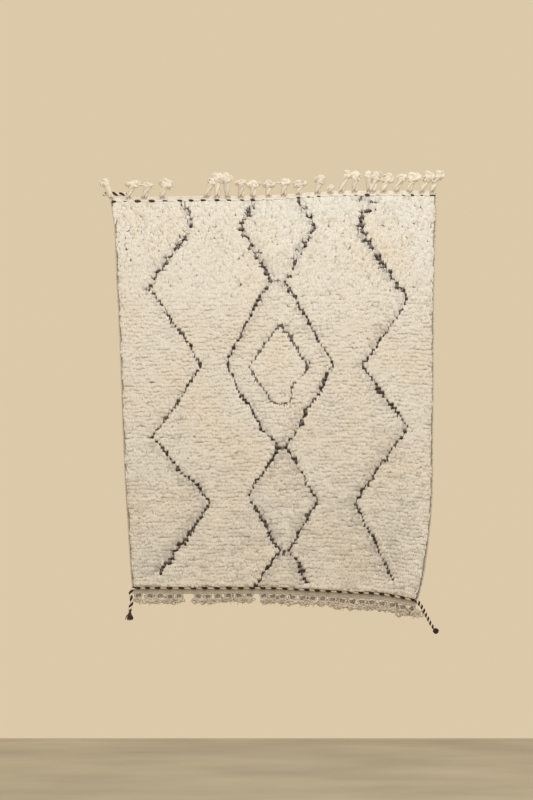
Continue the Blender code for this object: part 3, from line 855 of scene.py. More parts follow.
# %% [markdown]
# ## The pile
# A knot's two cut ends stand out of the ground as one soft lock, and all of them have been
# brushed and pressed downwards, so that each row lies over the next like tiles. A lock is a
# short four-sided tube: it leaves the ground, bows out to the pile's height and hangs down.
# Hair particles would look as shaggy but wouldn't export as a mesh; a bumpy surface would,
# but its outline would be smooth. Near the top the locks fall every way, so hardly any rows
# show. From 40 cm down they hang in line, and the rows read as fine wavy ridges.


# %% Where each lock stands, and how it falls
RIDGE = 0.36  # share of its fall at which a lock is highest
TIP = 0.92  # its tip's height as a share of the highest one
INSET = 0.0080  # share of the width that is left free at each side, about 8 mm


def lay_locks(seed=21):
    """Every lock's share across and down, rise, fall, lean and line facts. Row and column
    give a regular grid; smooth wandering bends the rows and random numbers loosen it."""
    rng = np.random.default_rng(seed)
    row, column = (i.ravel() for i in np.indices((ROWS, KNOTS)))
    n = len(row)
    wild = 1 - ease((row * ROW - 0.12) / 0.28)  # 1 near the top, 0 from 0.40 m down
    shift = rng.uniform(-1, 1, n) * (0.2 + 0.12 * wild)
    across = (column + 0.25 + 0.5 * rng.random(ROWS)[row] + shift) / KNOTS
    across = INSET + (1 - 2 * INSET) * np.clip(across, 0.0, 1.0)
    level = FIRST_ROW + row * ROW
    bend = 0.0018 * wander(across, level, 0.12, 5) + 0.0016 * wander(across, level * 9, 0.02, 6)
    bend = bend + 0.0005 * rng.normal(0, 1, ROWS)[row]
    loose = rng.uniform(-1, 1, n) * (0.0003 + 0.0013 * wild)
    level = np.clip(level + (bend + loose) * (row > 0), FIRST_ROW, PILE_END - 0.005)
    fall = 0.0228 + 0.0007 * wander(across, level * 6, 0.05, 9) * (1 - wild)
    fall = fall + rng.uniform(-1, 1, n) * (0.0009 + 0.0005 * wild)
    fall = np.minimum(fall, PILE_END + 0.0015 - level)
    lean = rng.normal(0, 1, n) * (0.04 + 0.12 * wild)
    lean = lean + 0.12 * wander(across, level, 0.06, 10)
    down = level / LENGTH
    seen = cloth_point(across, (level + 0.70 * fall) / LENGTH, WEAVE + PILE)
    gap, strength, which = near_lines(seen[:, 0], seen[:, 2])
    groove = np.exp(-((gap / 0.0075) ** 2)) * np.minimum(strength, 1.0)
    ridge = np.where(row == 0, 0.17, RIDGE)
    rise = thickness(across, (level + np.where(row == 0, 0.25, 0.60) * fall) / LENGTH)
    rise = rise * (0.82 + 0.18 * ease((level - FIRST_ROW) / 0.03))
    rise = rise * (1 - 0.12 * groove) + rng.uniform(-1, 1, n) * (0.0003 + 0.0006 * wild)
    tip = np.where(row == 0, 1.45, TIP)
    lift = 0.0028 - 0.0014 * wild + 0.0004 * wander(across, level * 5, 0.06, 11)
    lift = lift + 0.0003 * wild * rng.uniform(-1, 1, n)
    return dict(row=row, across=across, down=down, rise=rise, fall=fall, lean=lean, lift=lift,
                ridge=ridge, tip=tip, wild=wild, seen=seen, gap=gap, strength=strength,
                which=which)


locks = lay_locks()
print(len(locks["row"]), "locks; mean fall, mm:", round(1000 * locks["fall"].mean(), 1))


# %% From facts to tubes
ROOT = 0.0030  # height at which a lock leaves the ground
SHOULDER = 0.73  # share of the fall at which a lock starts to taper
T_WIDE = np.array([1.0, 1.25, 1.15])  # half width and half depth, ring by ring
T_DEEP = np.array([0.45, 0.50, 0.45, 0.15])
TIP_WIDE = (0.95, 0.40)  # tips are blunt where rows show, and pointed above
TIP_SHADE = (0.64, 0.90)  # painted shade at the tips, strongest where the rows show, for the shadow under each row
BROWNER = np.array((0.80, 1.0, 1.25))  # powers: painted shade is also browner
ROOT_SHADE = (0.60, 0.78)  # painted shade at the roots, as in the shadow deep in the pile
DULLEST = 0.30  # and no painted shade goes darker than this
SOFT = 0.45  # how far the shading follows a lock's roundness


def lock_tubes(k, size, rise=0.0):
    """The tubes of the locks numbered k. Ring by ring the path climbs from the root to the
    rise, falls down the cloth and leans aside by lean x fall; the tip is lifted off. The
    shading direction is 1 - soft parts the cloth's own and soft parts the tube's: loose
    wool scatters light so much that a lock looks less round than it is."""
    across, down, fall = locks["across"][k], locks["down"][k], locks["fall"][k]
    left, right, _ = side_edges(down)
    fallen = np.stack([0 * fall, locks["ridge"][k], SHOULDER + 0 * fall, 1 + 0 * fall], -1)
    top = locks["rise"][k] + rise
    aside = (locks["lean"][k] * fall / (right - left))[:, None] * fallen
    tip = top * locks["tip"][k] + locks["lift"][k]
    height = np.stack([ROOT + 0 * top, top, 0.3 * top + 0.7 * tip, tip], -1)
    at = down[:, None] + (fall / LENGTH)[:, None] * fallen
    paths = cloth_point(np.clip(across[:, None] + aside, 0.001, 0.999), at, height)
    edge = np.minimum(across, 1 - across) * (right - left)
    size = size * (0.45 + 0.55 * ease((edge - 0.006) / 0.012))
    tip_wide = TIP_WIDE[0] + (TIP_WIDE[1] - TIP_WIDE[0]) * locks["wild"][k]
    wide = size[:, None] * np.concatenate([0 * fallen[:, :3] + T_WIDE, tip_wide[:, None]], 1)
    group = tubes(paths, wide, size[:, None] * T_DEEP, (1.0, 0.0, 0.02), 4)
    out = front_direction(np.broadcast_to(across[:, None], at.shape), at)[:, :, None]
    around = unit(group["points"] - paths[:, :, None])
    group["normals"] = unit((1 - SOFT) * out + SOFT * around)
    return group


def blend_of(one, two, share):
    """One colour at share 0, the other at share 1, for rows of shares."""
    share = np.clip(share, 0, 1)[:, None]
    return one * (1 - share) + two * share


def cream_colours(k, seed):
    """Cream, drifting to white or straw in patches, to heather grey beside the lines, which is
    partly grey wool and partly painted shade, and a little lighter or darker from lock to lock.
    Painted shade also makes streaks along the rows, darkens the pile towards the bottom and the
    right, and darkens each lock at its root and, where the rows show, at its tip."""
    rng = np.random.default_rng(seed)
    x, z = locks["seen"][k, 0], locks["seen"][k, 2]
    patch = wander(x, z, 0.22, 12)
    colour = blend_of(CREAM, STRAW, 0.30 * patch)
    colour = blend_of(colour, WHITE, -0.45 * patch + 0.5 * ease((z + 0.12) / 0.10))
    # Heather grey beside the lines: partly grey wool mixed in, partly painted shade of the groove
    # beside each line.
    outer = locks["gap"][k] * np.array(OUTER_SIDE)[locks["which"][k]]
    wide = np.where(outer > 0, 0.026, 0.010)
    beside = np.exp(-((outer / wide) ** 2)) * locks["strength"][k]
    colour = blend_of(colour, HEATHER, 0.64 * beside * rng.uniform(0.3, 1.5, len(x)))
    # Painted shade: light and dark streaks along the rows, stronger where the rows show.
    streak = wander(x, z * 14, 0.14, 13)
    wild = locks["wild"][k]
    shade = 1.115 - 0.05 * wild + (0.060 - 0.035 * wild) * streak
    shade = shade + (0.030 + 0.015 * wild) * rng.normal(0, 1, len(x))
    speck = rng.random(len(x)) < 0.03
    shade = shade - rng.uniform(0.1, 0.25, len(x)) * speck
    # Painted shade: darker towards the bottom and towards the right.
    shade = shade - 0.13 * ease((-z - 0.5) / 0.6) - 0.03 * ease((x + 0.1) / 0.4)
    colour = colour * np.clip(shade, 0.65, 1.15)[:, None]
    # Painted shade at each tip, strongest where the rows show, for the shadow under the row's
    # edge.
    tip = TIP_SHADE[0] + (TIP_SHADE[1] - TIP_SHADE[0]) * wild
    tip = tip + (1 - wild) * (0.11 * wander(x, z * 6, 0.05, 14) + 0.08 * rng.normal(0, 1, len(x)))
    # Painted shade at each root, deep in the pile.
    root = ROOT_SHADE[0] + (ROOT_SHADE[1] - ROOT_SHADE[0]) * wild
    tone = np.stack([root, 1 + 0 * x, 1 + 0 * x, tip], -1)
    tone = tone * (1 + (0.03 + 0.09 * wild[:, None]) * rng.normal(0, 1, tone.shape))
    colour = colour[:, None] * np.maximum(tone, DULLEST)[..., None] ** BROWNER
    return colour * np.minimum(1, 0.93 / colour.max(axis=-1, keepdims=True))


# %% Which locks are dark
def choose_dark(seed=31):
    """A lock is dark if its row's dash is nearer than half the dash's length: 5.0 mm times
    the line's strength times a random factor, but 4.0 mm at least. In the loose upper part
    the dashes stray further from the line, and every second one is longer, the others
    shorter or missing. The small diamond also has one row across its foot, and the middle
    lines are joined where they meet. On a line's outer side single thin locks are dark as
    well. Returns which locks are dark and how thick each is: a weak line has thin ones."""
    rng = np.random.default_rng(seed)
    shape = (len(LINES), ROWS)
    which, row, wild = locks["which"], locks["row"], locks["wild"]
    stray = rng.normal(0, 1, shape)[which, row] * (0.0008 + 0.0020 * wild)
    long = rng.uniform(0.45, 1.35, shape)[which, row]
    every_other = (row + which) % 2
    long = long * (1 + wild * (0.50 - 0.95 * every_other))
    missing = rng.random(shape)[which, row] < 0.35 * wild * every_other
    dash = 0.0050 * locks["strength"] * long
    near = np.abs(locks["gap"] - stray) < np.maximum(dash, 0.0040)
    thick = np.clip(0.15 + 0.70 * locks["strength"] * np.sqrt(long), 0.38, 0.95)
    thick = thick * (1 - 0.10 * wild) * np.where(row < 2, 0.6, 1.0)
    x, z = locks["seen"][:, 0], locks["seen"][:, 2]
    foot = (np.abs(z - DIAMOND_FOOT) < ROW / 2) & (np.abs(x - 0.023) < 0.024)
    for place, middle, half in MEETINGS:
        foot = foot | (np.abs(z - place) < 0.6 * ROW) & (np.abs(x - middle) < half)
    near = near & ~missing
    outer = locks["gap"] * np.array(OUTER_SIDE)[which]
    beside = (outer > 0) & (outer < 0.010 + 0.007 * wild) & (locks["strength"] > 0.6)
    beside = beside & (rng.random(len(row)) < 0.12 + 0.14 * wild)
    return near | foot | beside, np.where(near, thick, 0.30)


dark, dark_size = choose_dark()
above_dark = np.roll(dark.reshape(ROWS, KNOTS), -1, axis=0).ravel() & ~dark
locks["fall"][above_dark] += 0.0028 + 0.0014 * locks["wild"][above_dark]
locks["rise"][above_dark] += 0.0006
print(dark.sum(), "dark locks;", above_dark.sum(), "cream ones hang over them")

# %% The cream pile, in four bands
BANDS = 4
lock_rng = np.random.default_rng(41)
half_width = (0.0048 + 0.0005 * locks["wild"]) * lock_rng.uniform(0.85, 1.15, len(dark))
for band in range(BANDS):
    in_band = (locks["row"] * BANDS // ROWS) == band
    k = np.flatnonzero(in_band & ~dark)
    group = lock_tubes(k, half_width[k])
    group["colour"] = cream_colours(k, 50 + band)
    name = f"pile_{band + 1}"
    add_piece(name, yarn_mesh(name, [group]), pile_wool)

# %% [markdown]
# ## The dark locks
# The lines are knotted like the rest, in black-brown wool. Their yarn is thinner, so the
# cream on both sides closes over them and each line looks drawn with a broken pen. Single
# fibres of it stray over the cream, which gives the line its feathered edge.


# %% Dark locks and the strays beside them
def dark_colours(k, seed):
    """Black-brown, greyer on the small diamond and where thin, a few knots reddish."""
    rng = np.random.default_rng(seed)
    grey = np.array([greyness for _, greyness in LINES])[locks["which"][k]]
    grey = np.maximum(grey, 0.35 * (dark_size[k] < 0.35))
    colour = blend_of(DARK, HEATHER, grey * rng.uniform(0.3, 1, len(k)))
    colour = np.where((rng.random(len(k)) < 0.06)[:, None], MADDER, colour)
    return colour * rng.uniform(0.7, 1.6, (len(k), 1))


def stray_tubes(seed=61):
    """Thin strands that leave a dark lock's shoulder and run up and outwards over the pile:
    they go out by t at about 55 degrees from upright, arch up by 4 t (1 - t) and curl
    sideways by a half sine. Most lie on the line's outer side."""
    rng = np.random.default_rng(seed)
    loose = locks["wild"][dark] * 1.5 + 0.5
    k = rng.choice(np.flatnonzero(dark), int(0.40 * dark.sum()), p=loose / loose.sum())
    t = np.array([0.0, 0.35, 0.7, 1.0])
    outer = np.array(OUTER_SIDE)[locks["which"][k]]
    side = np.where(rng.random(len(k)) < 0.75, outer, -outer)
    angle = rng.normal(0.95, 0.30, len(k))
    wild = locks["wild"][k]
    long = rng.uniform(0.006, 0.011, len(k)) * (1 + 0.3 * wild)
    left, right, _ = side_edges(locks["down"][k])
    curl = rng.uniform(-0.3, 0.3, len(k))[:, None] * np.sin(np.pi * t)
    aside = (long * side / (right - left))[:, None] * (np.sin(angle)[:, None] * t + curl)
    fall = -(long * np.cos(angle) / LENGTH)[:, None] * t
    start = locks["down"][k] + 0.8 * locks["fall"][k] / LENGTH
    height = (locks["rise"][k] + 0.0026)[:, None] + 0.0012 * 4 * t * (1 - t) - 0.0004 * t
    paths = cloth_point(
        np.clip(locks["across"][k][:, None] + aside, 0.002, 0.998), start[:, None] + fall, height
    )
    size = np.array([0.0009, 0.0008, 0.0007, 0.0003])
    group = tubes(paths, size, size * 0.7, (0.3, 0.0, 1.0), 4)
    group["normals"] = unit(group["points"] - paths[:, :, None])
    share = rng.uniform(0.0, 0.35, len(k))
    group["colour"] = blend_of(DARK, HEATHER, share)[:, None]
    return group


VEIL = np.array([0.60, 0.60, 0.02, 0.0])  # cream fibres of the row above lie over the bend
k = np.flatnonzero(dark)
group = lock_tubes(k, 0.95 * half_width[k] * dark_size[k], rise=0.0012)
group["colour"] = dark_colours(k, 33)[:, None]
group["colour"] = group["colour"] + (0.85 * HEATHER - group["colour"]) * VEIL[:, None]
dark_locks = add_piece(
    "dark_lines", yarn_mesh("dark_lines", [group, stray_tubes()]), dark_wool
)

# %% [markdown]
# ## The selvedges
# Down each side the wefts turn back round a bundle of edge warps and wrap it. The edge is
# therefore a cord with a coil of wool round it. Each turn of the coil is one weft, so the
# tube swells and narrows from ring to ring, and now and then a grey turn shows.


# %% An overcast edge
WRAP = 0.0044  # from one turn to the next
EDGE_CORD = 0.0030  # its middle: this far in from the edge, and off the back


def selvedge(name, side, seed, greyness):
    """A tube down the edge: its radius is 2.6 mm plus 0.7 mm |sin|, one arch to a turn, and
    a little chance. Side is 0 for the left edge and 1 for the right one."""
    rng = np.random.default_rng(seed)
    down = np.linspace(0.001, 0.999, int(2 * LENGTH / WRAP) + 1)
    left, right, _ = side_edges(down)
    aside = EDGE_CORD / (right - left)
    across = aside if side == 0 else 1 - aside
    path = cloth_point(across, down, EDGE_CORD)
    arch = np.abs(np.sin(np.pi * np.arange(len(down)) / 2 + 0.4))
    size = 0.0026 + 0.0007 * arch + 0.0002 * rng.random(len(down))
    group = tubes(path[None], size[None], size[None], (0.0, -1.0, 0.0), 8)
    often = 0.15 + greyness * (0.6 + 0.4 * ease((down - 0.25) / 0.3))
    grey = (rng.random(len(down)) < often) * rng.uniform(0.3, 0.75, len(down))
    colour = blend_of(WARP * 0.97, HEATHER * 0.7, grey)
    group["colour"] = colour[None]
    return add_piece(name, yarn_mesh(name, [group]), warp_yarn)


edges = [selvedge("selvedge_left", 0, 71, 0.0), selvedge("selvedge_right", 1, 72, 0.5)]

# %% [markdown]
# ## The flat-woven ends
# Above the first row of knots and below the last one the weaver leaves a narrow band of
# plain weave. It is packed so hard that only wefts show, as ribs over the warps. Each band
# is one profile, a face with fine ridges and a flat back, carried from edge to edge. Both
# ridges and ribs are in the mesh; the material adds the fibres.


# %% Carry a ribbed profile across the rug
WARP_STEP = 0.0038  # from one warp to the next
MEAN_WIDTH = 1.03  # of the cloth, metres
band_wool = weave_material("band_wool", "yarn", 11.0, 8.0, 0.20, 0.0008)


def woven_band(name, high, low, seed, tone):
    """A closed strip between two distances down. Its face's height is 4.2 mm plus 0.4 mm
    times half of w + v w, w and v being the cosines of the warp and the weft count."""
    rng = np.random.default_rng(seed)
    count = int(2 * MEAN_WIDTH / WARP_STEP)
    across = np.linspace(0.004, 0.996, count)
    lines = np.linspace(high, low, 9)
    steps = np.arange(len(lines))
    rib = np.cos(np.pi * np.arange(count))[:, None]
    ridge = np.cos(np.pi * steps)[None] * rib * 0.5 + 0.5 * rib
    face = 0.0042 + 0.0004 * ridge + 0.0002 * rng.random((count, len(lines)))
    bow = 0.0006 * wander(across[:, None], 0 * across[:, None], 0.09, seed)
    down = (lines[None] + bow * (steps / steps[-1] - 0.5) * 0.8) / LENGTH
    front = cloth_point(across[:, None], down, face)
    rear = cloth_point(across[:, None], down[:, [-1, 0]], 0.0030)
    points = np.concatenate([front, rear], axis=1)[None]
    middle = points.mean(axis=2)
    steps = np.linalg.norm(np.diff(middle, axis=1), axis=-1)
    run = np.concatenate([np.zeros((1, 1)), np.cumsum(steps, axis=1)], axis=1)
    group = {"points": points, "run": run, "girth": 2 * abs(low - high)}
    shade = 1 + 0.05 * wander(across, 0 * across, 0.03, seed + 1)
    group["colour"] = (WARP * tone * shade[:, None])[None]
    return add_piece(name, yarn_mesh(name, [group]), band_wool)


# The last number scales the warp's colour: 1.07 lightens the heading, and 0.76 is painted shade on
# the foot band, in the shadow of the pile above it.
heading = woven_band("heading_band", 0.0003, PILE_START - 0.0002, 81, 1.07)
foot = woven_band("foot_band", PILE_END + 0.0002, LENGTH - 0.0003, 82, 0.76)

# %% [markdown]
# ## The twined border cords
# Between pile and band runs a cord of two yarns, twined over the warps: the dark one passes
# in front for about a centimetre and a half, then the cream one does. On the lower end the
# dark floats are strong and evenly spaced. On the upper end the pile and the weave close
# over many of them, and a few large ones are reddish. A short table has the middle of each
# float, and the turn of the plies is read from it: whole turns at the floats.

# %% The dark floats, from left to right
#      x, mm   size   redness
TOP_FLOATS = (
    (-515, 1.20, 0.5), (-480, 0.25, 0.0), (-440, 1.70, 0.9), (-392, 1.50, 0.8),
    (-350, 0.70, 0.0), (-301, 0.95, 0.1), (-266, 1.15, 0.0), (-227, 1.15, 0.0),
    (-180, 1.20, 0.1), (-143, 0.80, 0.0), (-100, 0.75, 0.0), (-66, 1.50, 0.9),
    (-30, 0.05, 0.0), (8, 0.05, 0.0), (46, 0.05, 0.0), (83, 0.85, 0.3),
    (115, 0.50, 0.0), (148, 0.60, 0.0), (190, 0.05, 0.0), (233, 0.30, 0.0),
    (268, 0.25, 0.6), (306, 1.70, 1.0), (340, 0.25, 0.3), (382, 0.05, 0.0),
    (423, 0.30, 0.0), (452, 1.05, 0.0), (483, 0.40, 0.0), (513, 0.60, 0.2),
)
BOTTOM_FLOATS = (
    -436, -406, -374, -334, -296, -257, -221, -181, -142, -104, -67, -32, 2, 38,
    75, 108, 141, 177, 213, 248, 284, 319, 354, 389, 421, 452,
)


# %% Twine a cord
def border_cord(name, down, diameter, floats, ends, node, hurry, base):
    """Both plies round the line of the CAD cord. The phase is 2 pi c + hurry sin(2 pi c), c
    being the count of floats passed, so that with some hurry the dark ply is in front for
    less than half of the way. A ply is thicker by 45% where it floats in front, and thinner
    behind; the dark ply's thickness is base, plus a part read from the floats' sizes."""
    x_of, size_of, red_of = (np.array(column, float) for column in zip(*floats))
    left, right, _ = side_edges(down)
    x = np.linspace(ends[0], ends[1], int((ends[1] - ends[0]) / 0.0024))
    across = (x - left) / (right - left)
    path = cloth_point(across, down, WEAVE + diameter / 2 + 9 * GAP)
    count = np.interp(x * 1000, x_of, np.arange(len(x_of)))
    size = diameter * 0.36 * (base + (1 - base) * np.interp(x * 1000, x_of, size_of))
    red = np.interp(x * 1000, x_of, red_of)
    reach = diameter * 0.22
    phase = 2 * np.pi * count + hurry * np.sin(2 * np.pi * count)
    groups = []
    for start, thick, colour in (
        (0.0, size, blend_of(DARK, MADDER * 1.4, red)),
        (np.pi, diameter * 0.36, np.broadcast_to(CREAM * 0.98, (len(x), 3))),
    ):
        line = winding(path, phase + start, reach, flat=0.30)
        thick = (thick * (1 + 0.45 * np.cos(phase + start)))[None]
        group = tubes(line[None], thick, thick, (0.0, -1.0, 0.0), 7)
        group["colour"] = colour[None]
        groups.append(group)
    return add_piece(name, yarn_mesh(name, groups), cord_yarn, [node])


top_cord = border_cord(
    "twined_top", HEADING / LENGTH, TOP_CORD, TOP_FLOATS, (-0.5235, 0.5270), "top_border_cord",
    hurry=0.4, base=0.04,
)
bottom_cord = border_cord(
    "twined_bottom", 1 - BAND / LENGTH, BOTTOM_CORD,
    [(x, 1.55, 0.1) for x in BOTTOM_FLOATS], (-0.4405, 0.4548), "bottom_border_cord",
    hurry=0.3, base=0.22,
)

# %% [markdown]
# ## The upper fringe
# The warp ends stand above the top edge in bunches, each knotted on itself, and the knots
# lean and lean on each other. A bunch is stems that twist round each other, a real overhand
# knot as its head, which is the trefoil curve, a core that fills the knot, loose loops and
# a cut end. The trefoil is a formula: (sin t + 2 sin 2t, cos t - 2 cos 2t, -sin 3t).

# %% Where the bunches stand: the stem's foot and the knot, millimetres
#       foot_x  knot_x  knot_z  width  height
TOP_BUNCHES = (
    (-526, -545, 37, 28, 22), (-468, -453, 33, 38, 20), (-418, -404, 30, 26, 17),
    (-361, -346, 34, 34, 30), (-216, -197, 40, 22, 20), (-181, -181, 56, 34, 26),
    (-147, -154, 53, 34, 28), (-104, -103, 37, 36, 18), (-64, -65, 33, 37, 21),
    (-15, -14, 34, 38, 20), (34, 39, 39, 31, 21), (83, 90, 35, 36, 21),
    (143, 155, 48, 29, 26), (187, 188, 25, 18, 13), (221, 239, 63, 23, 25),
    (265, 267, 60, 29, 27), (313, 308, 64, 20, 22), (326, 334, 58, 28, 26),
    (356, 376, 52, 32, 28), (398, 421, 55, 27, 21), (441, 457, 55, 42, 29),
    (482, 507, 58, 32, 31), (514, 540, 62, 27, 27),
)
#        foot_x  aside drop width height
BOTTOM_BUNCHES = (
    (-434, -4, 20, 23, 19), (-398, 1, 21, 32, 17), (-366, 2, 20, 30, 16),
    (-333, 0, 22, 29, 17), (-303, -2, 20, 25, 17), (-243, 3, 20, 30, 15),
    (-211, 2, 22, 29, 17), (-178, -1, 19, 28, 15), (-145, 2, 17, 32, 15),
    (-110, 0, 19, 32, 17), (-76, -2, 17, 27, 15), (-31, 3, 20, 24, 19),
    (-2, 1, 21, 27, 17), (31, 0, 20, 33, 16), (63, 1, 22, 30, 18),
    (96, 0, 22, 30, 17), (128, 0, 20, 30, 16), (160, 0, 19, 30, 15),
    (192, 0, 21, 30, 17), (224, 0, 24, 30, 18), (256, 0, 26, 30, 19),
    (288, 0, 25, 30, 18), (320, 0, 24, 30, 17), (352, 0, 25, 30, 18),
    (384, 2, 24, 31, 17), (414, 9, 25, 34, 23), (437, 21, 24, 31, 26),
)


LINKED = ((1, 2), (7, 8), (9, 10), (14, 15), (19, 20))  # bunches joined by a strand


# %% Stems, knots and cut ends
def edge_point(x_mm, down):
    """The back of the cloth at this x, at the top (down = 0) or the bottom edge."""
    left, right, _ = side_edges(down)
    return back_point((np.array(x_mm, float) / 1000 - left) / (right - left), down)


def bezier(one, two, three, steps):
    """Points of the curve (1-t)^2 one + 2t(1-t) two + t^2 three, for rows of points."""
    t = np.linspace(0, 1, steps)[:, None]
    one, two, three = one[:, None], two[:, None], three[:, None]
    return (1 - t) ** 2 * one + 2 * t * (1 - t) * two + t * t * three


def twisted_stems(feet, heads, spread, size, twist, rng, yarns=3, steps=9):
    """For each bunch, yarns that wind round the stem's line: at share t along it a yarn is
    off the line by spread, at the angle twist t plus its own start."""
    middle = (feet + heads) / 2 + np.stack(
        [0.2 * (feet - heads)[:, 0], np.full(len(feet), -0.001), 0 * feet[:, 0]], -1
    )
    lines = bezier(feet, middle, heads, steps)
    t = np.linspace(0, 1, steps)
    start = rng.uniform(0, 2 * np.pi, (len(feet), 1, 1)) + np.arange(yarns)[:, None] * 2.1
    angle = start + twist * t
    offset = np.stack([np.cos(angle), 0.8 * np.sin(angle), 0 * angle], -1)
    narrow = spread * (1 - 0.40 * np.sin(np.pi * t))[:, None]
    paths = (lines[:, None] + narrow * offset).reshape(-1, steps, 3)
    return tubes(paths, size, size, (0.0, -1.0, 0.0), 7, ply=0.13, lay=0.011)


def trefoil_knots(centres, half, size, rng, steps=54):
    """Overhand knots: the trefoil with its width, depth and height scaled to half, the
    yarn's own radius taken off, and each turned a little in its own plane."""
    t = np.linspace(0, 2 * np.pi, steps)
    shape = np.stack(
        [np.sin(t) + 2 * np.sin(2 * t), -np.sin(3 * t), np.cos(t) - 2 * np.cos(2 * t)], -1
    )
    shape = shape / np.array([2.75, 1.0, 2.6])
    turn = rng.uniform(-0.7, 0.7, len(centres)) + np.pi * rng.integers(0, 2, len(centres))
    c, s = np.cos(turn)[:, None], np.sin(turn)[:, None]
    x = c * shape[:, 0] - s * shape[:, 2]
    z = s * shape[:, 0] + c * shape[:, 2]
    unit_knot = np.stack([x, np.broadcast_to(shape[:, 1], x.shape), z], -1)
    room = np.maximum(half - size[:, None], 0.0015)
    paths = centres[:, None] + unit_knot * room[:, None]
    thick = np.broadcast_to(size[:, None], paths.shape[:2])
    return tubes(paths, thick, thick, (0.05, -1.0, 0.03), 8, ply=0.12, lay=0.010)


def knot_cores(centres, half):
    """What fills a knot behind its outer turns: an ellipsoid, five rings along x."""
    share = np.array([-0.96, -0.6, 0.0, 0.6, 0.96])
    paths = centres[:, None] + share[:, None] * np.array([1.0, 0, 0]) * half[:, None, :1] * 0.88
    round_off = np.sqrt(1 - share**2)
    deep, high = (0.88 * half[:, i, None] * round_off for i in (1, 2))
    return tubes(paths, high, deep, (0.0, 0.0, 1.0), 8)


def cut_ends(centres, half, count, long, size, rng, way):
    """Short ends that leave a knot: from inside it out along a random direction by long,
    curling by a half sine to one side."""
    n = len(centres) * count
    middle, room = np.repeat(centres, count, 0), np.repeat(half, count, 0)
    angle = rng.uniform(-1.5, 1.5, n)
    out = unit(np.stack([np.sin(angle), rng.uniform(-0.5, 0.0, n), way * np.cos(angle)], -1))
    curl = unit(np.cross(out, (0.0, 1.0, 0.0))) * rng.choice([-1, 1], n)[:, None]
    t = np.linspace(0, 1, 6)[:, None]
    start = middle + out * room * 0.35
    reach = room.max(1)[:, None, None] * 0.75 + long * rng.uniform(0.4, 1.0, (n, 1, 1))
    bend = 0.30 * reach * rng.uniform(0.2, 1.0, (n, 1, 1))
    paths = start[:, None] + out[:, None] * reach * t + curl[:, None] * bend * np.sin(2.2 * t)
    thick = size * np.array([1.0, 1.0, 1.0, 0.95, 0.85, 0.45])
    return tubes(paths, thick, thick, (0.1, -1.0, 0.1), 6, ply=0.12, lay=0.009)


def tinted(group, colour, rng, spread=0.05):
    """Gives each tube of a group the colour, a little lighter or darker."""
    n = len(group["points"])
    group["colour"] = colour * (1 + spread * rng.normal(0, 1, (n, 1, 1)))
    return group


# %% Loops of loose yarn
def lace_loops(centres, half, count, size, rng, steps=18):
    """Loose loops in and round each knot: an ellipse with a wobble of three waves, set off
    from the knot's middle, each with its own width, height and tilt."""
    n = len(centres) * count
    middle, room = np.repeat(centres, count, 0), np.repeat(half, count, 0)
    offset = rng.uniform(-1, 1, (n, 3)) * np.array([0.95, 0.6, 0.55]) * room
    t = np.linspace(0, 1.85 * np.pi, steps)
    start, tilt = rng.uniform(0, 6.3, (2, n, 1))
    radius = rng.uniform(0.22, 0.42, (n, 1)) * (1 + 0.22 * np.sin(3 * t + start))
    x = radius * np.cos(t + start) * room[:, :1] * 1.1
    z = radius * np.sin(t + start) * room[:, 2:] * 1.5
    y = 0.4 * room[:, 1:2] * np.sin(2 * t + tilt)
    paths = (middle + offset)[:, None] + np.stack([x, y, z], -1)
    return tubes(paths, size, size, (0.05, -1.0, 0.07), 5)


# %% Build the upper fringe
IVORY = np.array((0.87, 0.79, 0.71))  # the warp's wool, a little duller


def top_fringe_groups(seed=91):
    """Stems from the edge to each knot, the knots, their loops and cut ends, and the yarns
    that link some of them. The first bunch stands forward of the loose cord tail."""
    rng = np.random.default_rng(seed)
    foot_x, knot_x, knot_z, width, height = (np.array(v, float) for v in zip(*TOP_BUNCHES))
    depth = np.minimum(np.minimum(width, height), 19) / 1000
    feet = edge_point(foot_x, 0.0) + np.array([0.0, -0.0044, -0.0042])
    knots = np.stack([knot_x / 1000, -depth / 2 - 0.0025, knot_z / 1000], -1)
    feet[0] += (0.0, -0.0045, 0.0005)
    knots[0, 1] -= 0.004
    half = np.stack([width / 2000, depth / 2, height / 2000], -1)
    half = half * (1.16, 1.0, 1.30)
    stout = 0.0059 * np.array([0.4, 0.8, 1, 1, 1, 1, 1, 1])
    stems = twisted_stems(feet, knots, 0.0074, stout, 3.5, rng, steps=8)
    heads = trefoil_knots(knots, half, np.clip(0.28 * height / 1000, 0.0040, 0.0066), rng, 40)
    cores = knot_cores(knots, half)
    loops = lace_loops(knots, half * 0.9, 6, 0.0027, rng, steps=11)
    ends = cut_ends(knots, half * 0.9, 1, 0.001, 0.0024, rng, 1.0)
    one, two = (knots[[pair[i] for pair in LINKED]] for i in (0, 1))
    links = twisted_stems(one, two, 0.0030, 0.0028, 3.0, rng, yarns=2)
    groups = [tinted(group, IVORY, rng) for group in (stems, heads, loops, ends, links)]
    return groups + [tinted(cores, IVORY * 0.97, rng)]


top_fringe = add_piece(
    "knotted_fringe_top", yarn_mesh("knotted_fringe_top", top_fringe_groups()),
    warp_yarn, ["top_fringe"],
)

# %% [markdown]
# ## The lower fringe
# Below, the warp ends are short and knotted close under the band, side by side, and years
# of walking have matted them. Each bunch has two stems with a gap of shadow between them, a
# flat knot, and loops of loose yarn that fill the space between neighbours like lace. Behind
# them, dark grey loops and thin pads stand in for the shadow in the openings: painted shade.


# %% Build the lower fringe
MATTED = np.array((0.66, 0.59, 0.52))  # the warp's wool, greyed by use


